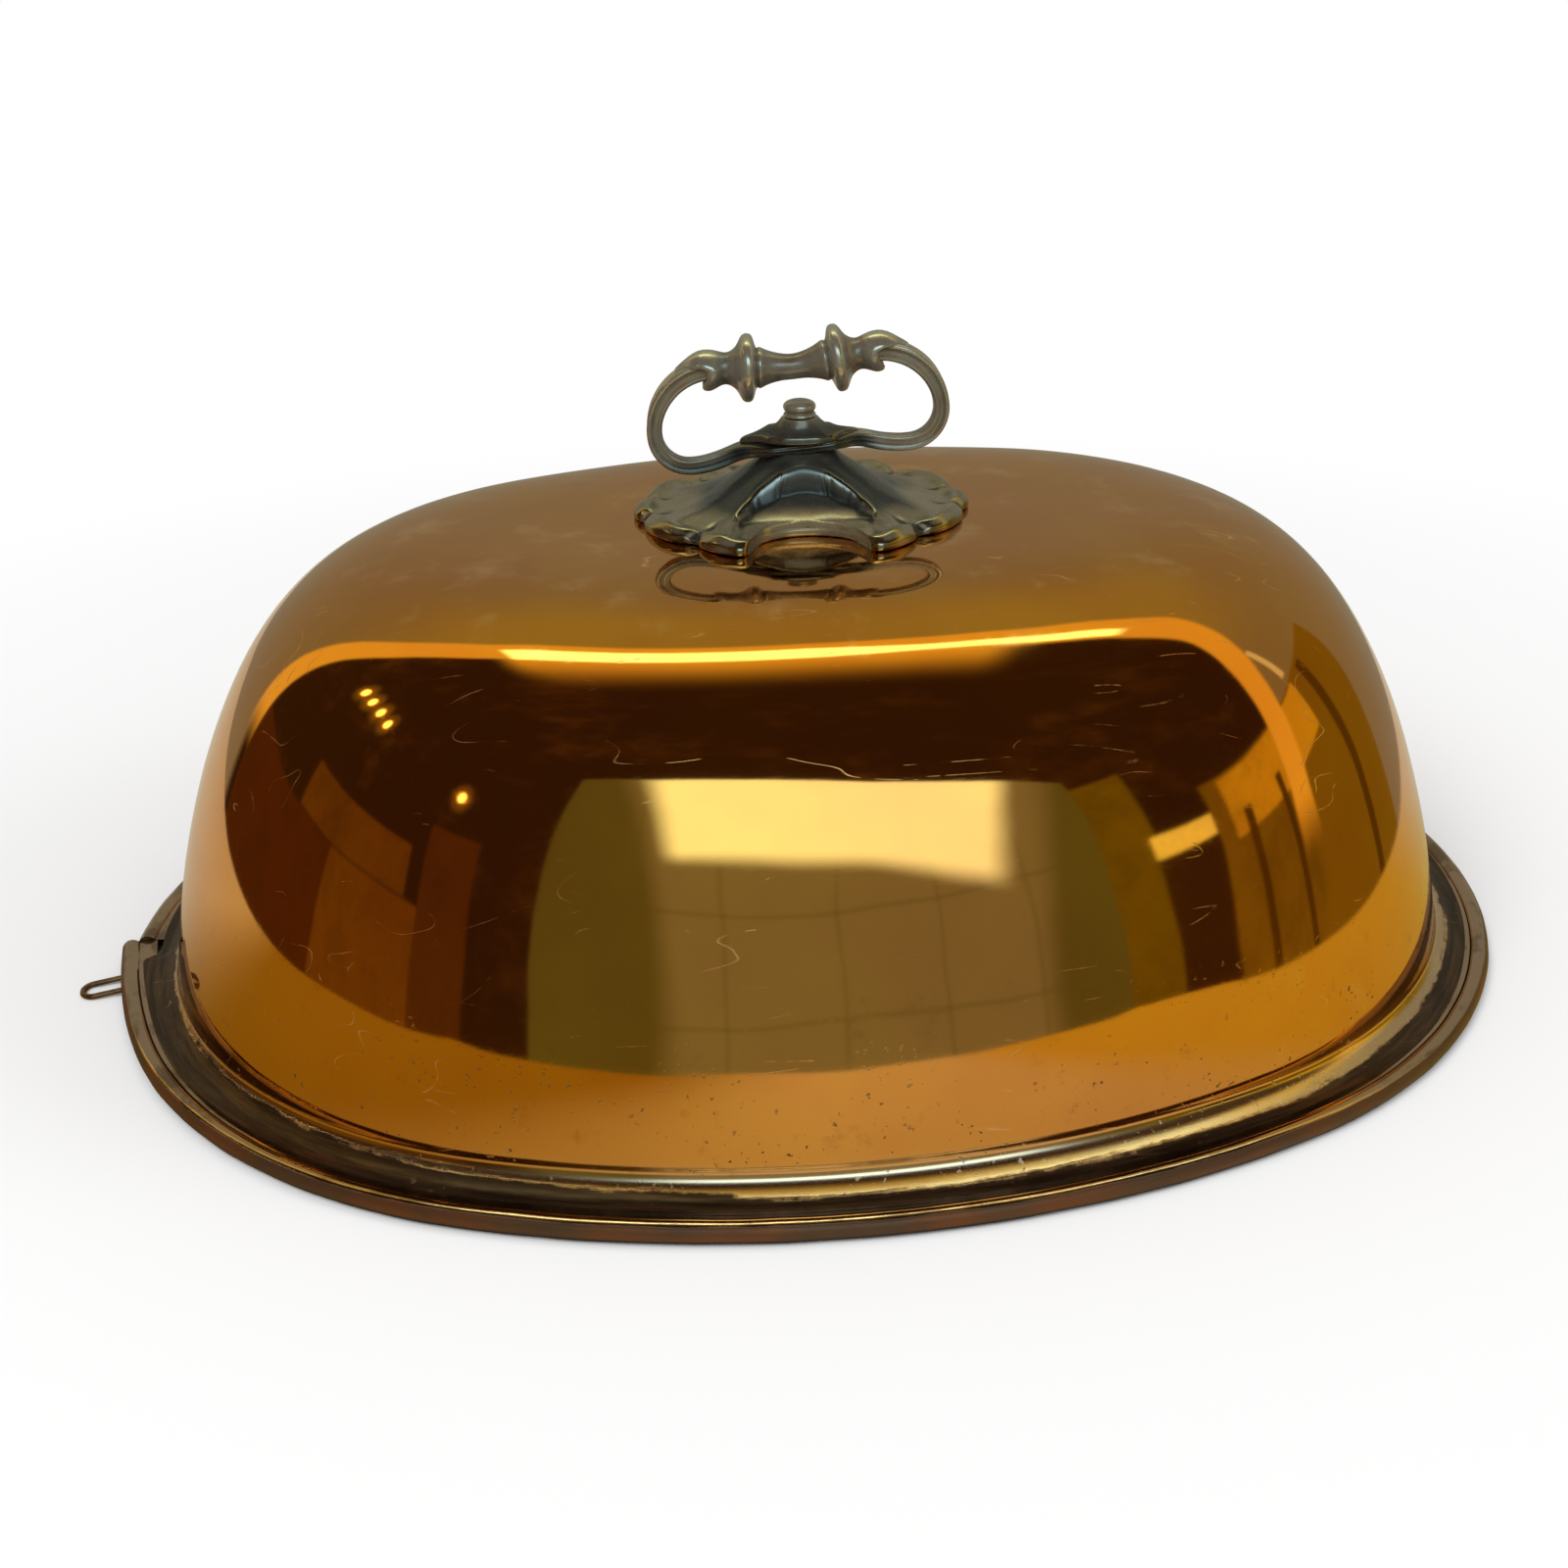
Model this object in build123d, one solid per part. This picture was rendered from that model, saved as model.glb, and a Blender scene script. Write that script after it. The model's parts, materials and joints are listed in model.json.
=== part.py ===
from build123d import *
import math
import os

# An oval dish cover of raised copper sheet: x runs along the cover, y across it, z up from the table.
# The origin is the middle of the oval mouth, on the plane of the table.

# Overall sizes, over the rolled rim
cover_length = 508.0
cover_width = 406.4
crown_height = 160.0
end_drop = 12.0  # half the width less the radius of the rim's two ends

# Copper sheet of the dome
sheet = 1.2
wall_inset = 20.0  # rim's outer edge to the foot of the wall
crown_end_radius = 16.0  # radius of the flat crown's two ends
crown_power = 4.23  # squareness of the shoulder, seen from the crown
wall_power = 1.2  # squareness of the shoulder, seen from the wall
wall_steps = 14
slope_step = 0.01  # radians either side of a point, for the slope there
flange_top = 7.0
cove_radius = 6.0

# Rolled rim and the iron wire in it
bead_radius = 3.7
strip_sheet = 1.2
bead_wear = 0.1  # depth of the flat that the table has worn under the bead
wire_play = 0.05
tail_inset = 13.0  # how far the strip reaches under the flange
solder_gap = 0.05
curl_slit = 0.4
flange_edge_gap = 1.0  # from the bead to the flange's edge

# Open joint of the rim, at the left end
front_end_y = 11.3  # where the sprung front end stops
rear_end_y = 13.6  # where the rear end starts
spring_start_y = 55.0  # the front end leaves the oval this far in front
spring_radius = 345.0
step_y = -1.5  # step in the flange's edge, beside the joint
rear_start_y = 60.0  # the flange's edge draws in from here to the step
rear_radius = 145.0

# Wire ring for hanging the cover up
ring_wire_radius = 1.0
ring_y = -10.8
ring_half_width = 4.6
ring_reach = 17.4
ring_tip_radius = 4.2
ring_corner_radius = 1.6
ring_slot_play = 0.6
ring_bar_play = 0.1
ring_slot_top = 8.0  # slot ends, in degrees round the bead from straight outward
ring_slot_bottom = -118.0
wire_stop = 3.0  # rim wire stops this far short of the ring

# Fixing at the middle of the crown
stud_radius = 3.0
stud_play = 0.05
hole_play = 0.3
washer_radius = 14.0
washer_thick = 1.5
nut_flats = 10.0
nut_thick = 5.0
stud_below_nut = 2.0
stud_in_button = 3.4

# Cast base of the handle, on the crown
base_turn = -5.3  # degrees, seen from above
base_half_length = 59.0
base_tongue = (55.0, 9.5)  # points of the scalloped outline, along and across from its middle
base_wing = (50.5, 26.0)
base_notch = (38.0, 34.5)
base_lobe = (31.5, 44.0)
base_horn = (21.0, 48.5)
base_bay = (20.0, 46.0)
base_bay_depth = 31.0
base_margin = 6.0  # how far the bell runs on past the outline before it is trimmed
base_edge_thick = 2.8
base_neck_radius = 13.2
base_neck_height = 23.6
base_neck_straight = 5.0
base_wall = 3.0
base_boss_radius = 8.0
base_hollow_radius = 27.0
base_hollow_height = 15.0
base_film = 0.02  # solder between the crown and the base

# Eye plate, arms and grip
eye_radius = 11.0
eye_thick = 3.2
arm_root_lap = 4.0  # how far each arm runs into the eye plate
handle_lean = -4.5  # degrees about the cross axis: the left end has been pressed down
arm_thick = 5.3
arm_wide = 6.4
arm_corner = 2.0
arm_reach = 49.7  # middle of the strip at its furthest from the stud
arm_foot_radius = 11.7
arm_top_radius = 21.0
arm_sweep_radius = 40.0
arm_return_radius = 22.0
arm_sweep_turn = 20.5
arm_bend_height = 7.4  # bend's middle over the eye plate's middle
grip_sag = 5.0  # degrees that each half of the grip rises from its waist
grip_waist_radius = 4.3
grip_collar_radius = 11.6
grip_collar_at = 15.8
grip_neck_radius = 5.2
grip_socket_radius = 7.0
grip_socket_end = 30.5
arm_tenon = 3.0  # straight end of each arm, inside its socket
socket_play = 0.4

# Leaf-shaped cap and the button nut over it
leaf_half_length = 21.0
leaf_half_width = 12.0
leaf_thick = 1.7
leaf_boss_radius = 6.3
leaf_height = 7.1
button_radius = 5.5
button_height = 6.1

# Places worked out from the sizes above
half_length = cover_length / 2
half_width = cover_width / 2
end_radius = half_width - end_drop
end_shift = half_length - end_radius
side_radius = (end_shift**2 + half_width**2 - end_radius**2) / (2 * (half_width - end_radius))
side_shift = side_radius - half_width
end_angle = math.degrees(math.atan2(side_shift, end_shift))
wall_foot = flange_top + cove_radius
shoulder_reach = end_radius - wall_inset - crown_end_radius
crown_inset = wall_inset + shoulder_reach
flange_edge_inset = 2 * bead_radius + flange_edge_gap
bead_z = bead_radius - bead_wear
bore_radius = bead_radius - strip_sheet
tail_z = flange_top - sheet - solder_gap
base_foot = crown_height + base_film
neck_top = base_foot + base_neck_height
eye_top = neck_top + eye_thick
eye_middle = neck_top + eye_thick / 2
leaf_top = eye_top + leaf_height

# The grip's halves point straight at the arms' ends
sag = math.radians(grip_sag)
arm_end_x = arm_reach - arm_top_radius * (1 + math.sin(sag))
arm_end_z = arm_bend_height + arm_top_radius * math.cos(sag)
grip_height = arm_end_z - arm_end_x * math.tan(sag)
socket_bottom = arm_end_x / math.cos(sag) - arm_tenon - socket_play
arm_corner_reach = math.hypot(arm_wide / 2 - arm_corner, arm_thick / 2 - arm_corner) + arm_corner
socket_bore = arm_corner_reach + socket_play


def centred_arc(place, start, turn):
    """A stretch of the rim: the centre it bends about, its outer radius, first angle and turn."""
    centre, radius = place
    return centre, radius, start, turn


def angle_at(y, radius):
    """Angle of the left end's arc, as seen from its centre, where it passes y."""
    return 180 - math.degrees(math.asin(y / radius))


def tangent_place(angle, radius):
    """Centre and radius of an arc that leaves the left end's arc smoothly at an angle."""
    slip = end_radius - radius
    x = -end_shift + slip * math.cos(math.radians(angle))
    y = slip * math.sin(math.radians(angle))
    return (x, y), radius


right_end = ((end_shift, 0.0), end_radius)
left_end = ((-end_shift, 0.0), end_radius)
back_side = ((0.0, -side_shift), side_radius)
front_side = ((0.0, side_shift), side_radius)
spring_angle = angle_at(-spring_start_y, end_radius)
spring_end = tangent_place(spring_angle, spring_radius)
draw_angle = angle_at(rear_start_y, end_radius)
rear_end = tangent_place(draw_angle, rear_radius)


def angle_on(place, y, inset):
    """Angle on a left-hand arc, from its own centre, of the point with this y at this inset."""
    centre, radius = place
    return 180 - math.degrees(math.asin((y - centre[1]) / (radius - inset)))


def point_on(place, angle, inset):
    centre, radius = place
    reach = radius - inset
    x = centre[0] + reach * math.cos(math.radians(angle))
    y = centre[1] + reach * math.sin(math.radians(angle))
    return x, y


def whole_oval():
    """The four tangent arcs of the plan."""
    side_turn = 180 - 2 * end_angle
    return [
        centred_arc(right_end, -end_angle, 2 * end_angle),
        centred_arc(back_side, end_angle, side_turn),
        centred_arc(left_end, 180 - end_angle, 2 * end_angle),
        centred_arc(front_side, 180 + end_angle, side_turn),
    ]


def rim_run(front_y, rear_y):
    """The same plan, open at the left end and with its front end sprung outward."""
    side_turn = 180 - 2 * end_angle
    rear_stop = angle_on(left_end, rear_y, bead_radius)
    front_stop = angle_on(spring_end, front_y, bead_radius)
    return [
        centred_arc(right_end, -end_angle, 2 * end_angle),
        centred_arc(back_side, end_angle, side_turn),
        centred_arc(left_end, 180 - end_angle, rear_stop - 180 + end_angle),
        centred_arc(front_side, 180 + end_angle, side_turn),
        centred_arc(left_end, spring_angle, 180 + end_angle - spring_angle),
        centred_arc(spring_end, front_stop, spring_angle - front_stop),
    ]


def turned(section, stretch):
    """Turn a section, drawn in inset and height, through one stretch of the rim."""
    centre, radius, start, turn = stretch
    upright = Plane.XZ * section(radius)
    ring = revolve(upright, axis=Axis.Z, revolution_arc=turn)
    return Pos(centre[0], centre[1], 0) * Rot(0, 0, start) * ring


def turned_all(section, stretches):
    pieces = [turned(section, stretch) for stretch in stretches]
    whole = pieces[0]
    for piece in pieces[1:]:
        whole += piece
    return whole


def shoulder_point(angle, depth):
    """Point of the wall and shoulder, moved inward along its normal by depth."""
    share = 1 - math.cos(angle)
    rise = crown_height - wall_foot
    inset = wall_inset + shoulder_reach * share
    across = max(1 - math.cos(angle) ** crown_power, 0.0)
    height = wall_foot + rise * across ** (1 / wall_power)
    if depth == 0:
        return inset, height
    near = min(max(angle, 2 * slope_step), math.pi / 2 - 2 * slope_step)
    low = shoulder_point(near - slope_step, 0)
    high = shoulder_point(near + slope_step, 0)
    along = (high[0] - low[0], high[1] - low[1])
    length = math.hypot(along[0], along[1])
    return inset + depth * along[1] / length, height - depth * along[0] / length


def shoulder_line(depth):
    """The wall and shoulder as points from the foot to the flat crown."""
    points = []
    for step in range(wall_steps + 1):
        points.append(shoulder_point(math.pi / 2 * step / wall_steps, depth))
    points[0] = (wall_inset + depth, wall_foot)
    points[-1] = (crown_inset, crown_height - depth)
    return points


def dome_section(radius):
    """Sheet of flange, cove, wall and shoulder, in the plane of one radius."""
    low = flange_top - sheet
    cove_start = wall_inset - cove_radius
    flank = cove_radius * math.sin(math.radians(45))
    inner_flank = (cove_radius + sheet) * math.sin(math.radians(45))
    middle = (cove_start + flank, wall_foot - flank)
    inner_middle = (cove_start + inner_flank, wall_foot - inner_flank)

    def at(point):
        return radius - point[0], point[1]

    outer = [at(point) for point in shoulder_line(0)]
    inner = [at(point) for point in shoulder_line(sheet)]
    inner.reverse()
    outline = [
        Line(at((flange_edge_inset, low)), at((flange_edge_inset, flange_top))),
        Line(at((flange_edge_inset, flange_top)), at((cove_start, flange_top))),
        ThreePointArc(at((cove_start, flange_top)), at(middle), outer[0]),
        Spline(outer, tangents=[(0, 1), (-1, 0)]),
        Line(outer[-1], inner[0]),
        Spline(inner, tangents=[(1, 0), (0, -1)]),
        ThreePointArc(inner[-1], at(inner_middle), at((cove_start, low))),
        Line(at((cove_start, low)), at((flange_edge_inset, low))),
    ]
    return make_face(Curve() + outline)


def crown_plate():
    """Flat middle of the crown, inside the shoulder."""
    corners = []
    middles = []
    for centre, radius, start, turn in whole_oval():
        corners.append(point_on((centre, radius), start, crown_inset))
        middles.append(point_on((centre, radius), start + turn / 2, crown_inset))
    arcs = []
    for place in range(4):
        arcs.append(ThreePointArc(corners[place], middles[place], corners[(place + 1) % 4]))
    plate = extrude(make_face(Curve() + arcs), amount=sheet)
    return Pos(0, 0, crown_height - sheet) * plate


def flange_strip(outer, inner):
    """Section of a flat strip of the flange between two insets."""

    def section(radius):
        middle = radius - (outer + inner) / 2
        return Pos(middle, flange_top - sheet / 2) * Rectangle(inner - outer, sheet)

    return section


def flange_cutter(radius):
    """Section that clears everything outside the flange's drawn-in edge."""
    middle = radius - flange_edge_inset / 2
    return Pos(middle, flange_top - sheet / 2) * Rectangle(flange_edge_inset, 3 * sheet)


def dome_shell():
    shell = turned_all(dome_section, whole_oval()) + crown_plate()
    front_stop = angle_on(spring_end, step_y, flange_edge_inset)
    wing = centred_arc(spring_end, front_stop, spring_angle - front_stop)
    shell += turned(flange_strip(flange_edge_inset, tail_inset), wing)
    rear_stop = angle_on(rear_end, step_y, flange_edge_inset)
    drawn = centred_arc(rear_end, draw_angle, rear_stop - draw_angle)
    shell -= turned(flange_cutter, drawn)
    hole = Cylinder(stud_radius + hole_play, 4 * sheet)
    return shell - Pos(0, 0, crown_height) * hole


def strip_section(radius):
    """Rolled bead with its slit and worn foot, and the tail that lies under the flange."""
    middle = radius - bead_radius
    bead = Pos(middle, bead_z) * (Circle(bead_radius) - Circle(bore_radius))
    tail_start = bead_radius + bore_radius + strip_sheet / 2
    tail_middle = radius - (tail_start + tail_inset) / 2
    tail = Pos(tail_middle, tail_z - strip_sheet / 2) * Rectangle(tail_inset - tail_start, strip_sheet)
    slit_z = tail_z - strip_sheet - curl_slit / 2
    slit = Pos(middle - bead_radius, slit_z) * Rectangle(2 * bead_radius, curl_slit)
    under = Pos(middle, -bead_radius) * Rectangle(4 * bead_radius, 2 * bead_radius)
    return bead + tail - slit - under


def ring_plane():
    """Axes at the bead's middle beside the ring: x outward, y along the bead, z up."""
    angle = angle_on(spring_end, ring_y, bead_radius)
    x, y = point_on(spring_end, angle, bead_radius)
    out = (math.cos(math.radians(angle)), math.sin(math.radians(angle)), 0)
    return Plane(origin=(x, y, bead_z), x_dir=out, z_dir=(0, 0, 1))


def leg_slot(offset):
    """Slot in the bead for one leg of the ring, as a slice of a pie round the bead."""
    reach = 2 * bead_radius
    corners = [(0, 0)]
    steps = 6
    for step in range(steps + 1):
        angle = ring_slot_bottom + (ring_slot_top - ring_slot_bottom) * step / steps
        corners.append((reach * math.cos(math.radians(angle)), reach * math.sin(math.radians(angle))))
    slice_face = Plane.XZ * make_face(Polyline(*corners, close=True))
    width = 2 * (ring_wire_radius + ring_slot_play)
    slab = extrude(slice_face, amount=width / 2, both=True)
    return Pos(0, offset, 0) * slab


def rim_strip():
    strip = turned_all(strip_section, rim_run(front_end_y, rear_end_y))
    nose_angle = angle_on(spring_end, front_end_y, bead_radius)
    x, y = point_on(spring_end, nose_angle, bead_radius)
    ball = Pos(x, y, bead_z) * Sphere(bead_radius)
    block = Box(4 * bead_radius, 2 * bead_radius, 2 * bead_z)
    beyond = Pos(x, y, bead_z) * Rot(0, 0, nose_angle - 180) * Pos(0, bead_radius, 0) * block
    strip += ball & beyond
    frame = ring_plane()
    for side in (-1, 1):
        strip -= frame.location * leg_slot(side * ring_half_width)
    return strip


def wire_section(radius):
    return Pos(radius - bead_radius, bead_z) * Circle(bore_radius - wire_play)


def rim_wire():
    stop_y = ring_y - ring_half_width - ring_wire_radius - wire_stop
    return turned_all(wire_section, rim_run(stop_y, rear_end_y))


def hanging_ring():
    """Closed loop whose bar lies in the bead and whose tip rests on the table."""
    outer = ring_half_width
    corners = [(0, -outer), (ring_reach, -outer), (ring_reach, outer), (0, outer)]
    radii = [ring_corner_radius, ring_tip_radius, ring_tip_radius, ring_corner_radius]
    loop = FilletPolyline(*corners, radius=radii, close=True)
    start = loop @ 0
    heading = loop % 0
    section = Plane(origin=start, z_dir=heading) * Circle(ring_wire_radius)
    ring = sweep(section, path=loop)
    bar_z = bead_z - bore_radius + ring_wire_radius + ring_bar_play
    droop = math.degrees(math.asin((bar_z - ring_wire_radius) / ring_reach))
    return ring_plane().location * Pos(0, 0, bar_z - bead_z) * Rot(0, droop, 0) * ring


def base_outline():
    """Scalloped outline of the base: tongues at the ends, wings, corner lobes and two bays."""

    def flip(point, across, along):
        return point[0] * across, point[1] * along

    arcs = []
    for across in (1, -1):
        end = (base_half_length * across, 0)
        arcs.append(ThreePointArc(flip(base_tongue, across, 1), end, flip(base_tongue, across, -1)))
        for along in (1, -1):
            tongue = flip(base_tongue, across, along)
            notch = flip(base_notch, across, along)
            horn = flip(base_horn, across, along)
            arcs.append(ThreePointArc(tongue, flip(base_wing, across, along), notch))
            arcs.append(ThreePointArc(notch, flip(base_lobe, across, along), horn))
            arcs.append(Line(horn, flip(base_bay, across, along)))
    for along in (1, -1):
        deep = (0, base_bay_depth * along)
        arcs.append(ThreePointArc(flip(base_bay, -1, along), deep, flip(base_bay, 1, along)))
    return make_face(Curve() + arcs)


def bell(neck, foot, edge, height, straight):
    """Round concave bell, from a straight neck down to a wide foot of one edge thickness."""
    shoulder = height - straight
    outline = [
        Line((0, 0), (foot, 0)),
        Line((foot, 0), (foot, edge)),
        Spline([(foot, edge), (neck, shoulder)], tangents=[(-1, 0), (-0.35, 1)]),
        Line((neck, shoulder), (neck, height)),
        Line((neck, height), (0, height)),
        Line((0, height), (0, 0)),
    ]
    return revolve(Plane.XZ * make_face(Curve() + outline), axis=Axis.Z)


def handle_base():
    prism = extrude(base_outline(), amount=base_neck_height)
    foot = base_half_length + base_margin
    mound = bell(base_neck_radius, foot, base_edge_thick, base_neck_height, base_neck_straight)
    body = prism & mound
    hollow = bell(base_boss_radius + base_wall, base_hollow_radius, 0.1, base_hollow_height, 0.1)
    body -= hollow - Cylinder(base_boss_radius, 4 * base_hollow_height)
    body -= Cylinder(stud_radius + hole_play, 4 * base_neck_height)
    return Pos(0, 0, base_foot) * Rot(0, 0, base_turn) * body


def leaning(shape):
    """Lean a piece of the handle about the eye plate's middle."""
    return Pos(0, 0, eye_middle) * Rot(0, handle_lean, 0) * shape


def arm_path():
    """Middle line of the right arm in x and z, from inside the eye plate to its end in the grip."""
    bend_z = arm_bend_height
    foot_x = arm_reach - arm_foot_radius
    foot_z = bend_z - arm_foot_radius
    top_x = arm_reach - arm_top_radius
    turn = math.radians(arm_sweep_turn)
    sweep_x = foot_x - arm_sweep_radius * math.sin(turn)
    sweep_z = foot_z + arm_sweep_radius * (1 - math.cos(turn))
    root_x = sweep_x - arm_return_radius * math.sin(turn)
    root_z = sweep_z + arm_return_radius * (1 - math.cos(turn))
    end = math.radians(90 + grip_sag)
    half = math.radians(45)
    tenon = (arm_end_x - arm_tenon * math.cos(sag), 0, arm_end_z - arm_tenon * math.sin(sag))

    def on(x, z, radius, angle):
        return x + radius * math.cos(angle), 0, z + radius * math.sin(angle)

    def sweep_at(angle):
        rise = arm_sweep_radius * (1 - math.cos(angle))
        return foot_x - arm_sweep_radius * math.sin(angle), 0, foot_z + rise

    def return_at(angle):
        fall = arm_return_radius * (1 - math.cos(angle))
        return root_x + arm_return_radius * math.sin(angle), 0, root_z - fall

    return Wire(
        [
            Line((eye_radius - arm_root_lap, 0, root_z), (root_x, 0, root_z)),
            ThreePointArc((root_x, 0, root_z), return_at(turn / 2), return_at(turn)),
            ThreePointArc(return_at(turn), sweep_at(turn / 2), (foot_x, 0, foot_z)),
            ThreePointArc(
                (foot_x, 0, foot_z),
                on(foot_x, bend_z, arm_foot_radius, -half),
                (arm_reach, 0, bend_z),
            ),
            ThreePointArc(
                (arm_reach, 0, bend_z),
                on(top_x, bend_z, arm_top_radius, end / 2),
                (arm_end_x, 0, arm_end_z),
            ),
            Line((arm_end_x, 0, arm_end_z), tenon),
        ]
    )


def handle_frame():
    path = arm_path()
    start = Plane(origin=path @ 0, x_dir=(0, 1, 0), z_dir=(1, 0, 0))
    section = start * RectangleRounded(arm_wide, arm_thick, arm_corner)
    arm = sweep(section, path=path)
    arms = leaning(arm + mirror(arm, about=Plane.YZ))
    above = Cylinder(leaf_half_length + 1, leaf_height)
    arms -= Pos(0, 0, eye_top + leaf_height / 2) * above
    below = Cylinder(base_neck_radius + 1, leaf_height)
    arms -= Pos(0, 0, neck_top - leaf_height / 2) * below
    plate = Pos(0, 0, eye_middle) * Cylinder(eye_radius, eye_thick)
    hole = Pos(0, 0, eye_middle) * Cylinder(stud_radius + hole_play, 4 * eye_thick)
    return Rot(0, 0, base_turn) * (arms + plate - hole)


def grip_half():
    """Right half of the grip: spool, ring, collar, neck and socket, turned about x."""
    at = grip_collar_at
    rim = grip_collar_radius
    ring = grip_waist_radius + 2.7
    neck = grip_neck_radius
    cup = grip_socket_radius
    end = grip_socket_end
    outline = [
        Line((0, 0), (0, grip_waist_radius)),
        Spline([(0, grip_waist_radius), (at - 4.6, ring - 0.6)], tangents=[(1, 0), (1, 0.45)]),
        ThreePointArc((at - 4.6, ring - 0.6), (at - 3.8, ring), (at - 3.0, ring - 0.2)),
        ThreePointArc((at - 3.0, ring - 0.2), (at - 1.9, ring + 1.4), (at - 1.4, rim - 0.9)),
        ThreePointArc((at - 1.4, rim - 0.9), (at, rim), (at + 1.4, rim - 0.9)),
        ThreePointArc((at + 1.4, rim - 0.9), (at + 2.2, neck + 1.4), (at + 4.4, neck)),
        Line((at + 4.4, neck), (at + 5.6, neck)),
        Spline([(at + 5.6, neck), (end - 5.5, cup), (end, cup - 0.5)], tangents=[(1, 0), (1, -0.2)]),
        Line((end, cup - 0.5), (end, socket_bore)),
        Line((end, socket_bore), (socket_bottom, socket_bore)),
        Line((socket_bottom, socket_bore), (socket_bottom, 0)),
        Line((socket_bottom, 0), (0, 0)),
    ]
    return revolve(make_face(Curve() + outline), axis=Axis.X)


def handle_grip():
    half = Rot(0, -grip_sag, 0) * grip_half()
    grip = half + mirror(half, about=Plane.YZ) + Sphere(grip_waist_radius)
    return Rot(0, 0, base_turn) * leaning(Pos(0, 0, grip_height) * grip)


def leaf_outline():
    """A round middle drawn out into two points."""
    hip_x = leaf_half_width * 0.78
    hip_y = leaf_half_width * 0.62
    tip_y = 0.8
    waist = ((leaf_half_length + hip_x) / 2 + 0.6, hip_y * 0.3)
    arcs = []
    for across in (1, -1):
        tip = leaf_half_length * across
        arcs.append(Line((tip, tip_y), (tip, -tip_y)))
        for along in (1, -1):
            arcs.append(
                ThreePointArc(
                    (hip_x * across, hip_y * along),
                    (waist[0] * across, waist[1] * along),
                    (tip, tip_y * along),
                )
            )
    for along in (1, -1):
        near = (-hip_x, hip_y * along)
        far = (hip_x, hip_y * along)
        arcs.append(ThreePointArc(near, (0, leaf_half_width * along), far))
    return make_face(Curve() + arcs)


def cap_leaf():
    plate = extrude(leaf_outline(), amount=leaf_thick)
    boss = bell(leaf_boss_radius, leaf_half_width - 1.5, leaf_thick, leaf_height, 0.6)
    hole = Cylinder(stud_radius + hole_play, 4 * leaf_height)
    return Pos(0, 0, eye_top) * Rot(0, 0, base_turn) * (plate + boss - hole)


def finial_nut():
    """Button with a groove round its foot."""
    top = button_height
    wide = button_radius
    outline = [
        Line((0, 0), (wide - 1.1, 0)),
        ThreePointArc((wide - 1.1, 0), (wide - 0.4, 0.7), (wide - 0.9, 1.4)),
        ThreePointArc((wide - 0.9, 1.4), (wide, 3.0), (wide - 1.6, 4.9)),
        Spline([(wide - 1.6, 4.9), (0, top)], tangents=[(-1, 0.8), (-1, 0)]),
        Line((0, top), (0, 0)),
    ]
    button = revolve(Plane.XZ * make_face(Curve() + outline), axis=Axis.Z)
    bore_depth = stud_in_button + 0.4
    bore = Pos(0, 0, bore_depth / 2) * Cylinder(stud_radius + stud_play, bore_depth)
    return Pos(0, 0, leaf_top) * (button - bore)


washer_bottom = crown_height - sheet - washer_thick
nut_bottom = washer_bottom - nut_thick


def through_stud():
    bottom = nut_bottom - stud_below_nut
    length = leaf_top + stud_in_button - bottom
    return Pos(0, 0, bottom + length / 2) * Cylinder(stud_radius, length)


def inner_washer():
    disc = Cylinder(washer_radius, washer_thick) - Cylinder(stud_radius + hole_play, 3 * washer_thick)
    return Pos(0, 0, washer_bottom + washer_thick / 2) * disc


def inner_nut():
    corners = nut_flats / math.sqrt(3)
    body = extrude(RegularPolygon(corners, 6), amount=nut_thick)
    body -= Pos(0, 0, nut_thick / 2) * Cylinder(stud_radius + stud_play, 2 * nut_thick)
    return Pos(0, 0, nut_bottom) * body


nodes = {
    "dome_shell": dome_shell,
    "rim_strip": rim_strip,
    "rim_wire": rim_wire,
    "hanging_ring": hanging_ring,
    "handle_base": handle_base,
    "handle_frame": handle_frame,
    "handle_grip": handle_grip,
    "cap_leaf": cap_leaf,
    "finial_nut": finial_nut,
    "through_stud": through_stud,
    "inner_washer": inner_washer,
    "inner_nut": inner_nut,
}

os.makedirs("parts", exist_ok=True)
for name, make in nodes.items():
    export_step(make(), f"parts/{name}.step")
    print(name)
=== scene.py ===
import math
import bpy
from mathutils import Euler, Matrix, Vector
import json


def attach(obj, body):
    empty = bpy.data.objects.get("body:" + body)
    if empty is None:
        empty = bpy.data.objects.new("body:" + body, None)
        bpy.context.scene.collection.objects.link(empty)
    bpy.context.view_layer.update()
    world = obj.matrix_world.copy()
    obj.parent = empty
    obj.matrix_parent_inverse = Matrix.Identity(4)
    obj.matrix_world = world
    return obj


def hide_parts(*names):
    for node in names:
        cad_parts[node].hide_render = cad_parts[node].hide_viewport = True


# An oval copper dish cover with a cast bail handle. Lengths in the dictionaries are millimetres.
mm = 0.001

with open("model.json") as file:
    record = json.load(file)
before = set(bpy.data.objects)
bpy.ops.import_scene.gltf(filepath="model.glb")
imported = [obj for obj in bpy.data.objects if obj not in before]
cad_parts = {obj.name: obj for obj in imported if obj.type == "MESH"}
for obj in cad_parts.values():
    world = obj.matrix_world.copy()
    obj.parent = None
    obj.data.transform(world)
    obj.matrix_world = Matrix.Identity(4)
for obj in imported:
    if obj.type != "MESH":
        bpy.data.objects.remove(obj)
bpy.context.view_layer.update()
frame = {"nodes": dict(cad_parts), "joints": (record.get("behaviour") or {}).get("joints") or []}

plan = {
    "halfLength": 254.0,  # over the rolled rim
    "halfWidth": 203.2,
    "endRadius": 191.2,
}

handlePlace = {
    "turn": -5.3,  # degrees, seen from above
    "lean": -4.5,  # the arms' left end has been pressed down
}


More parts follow.
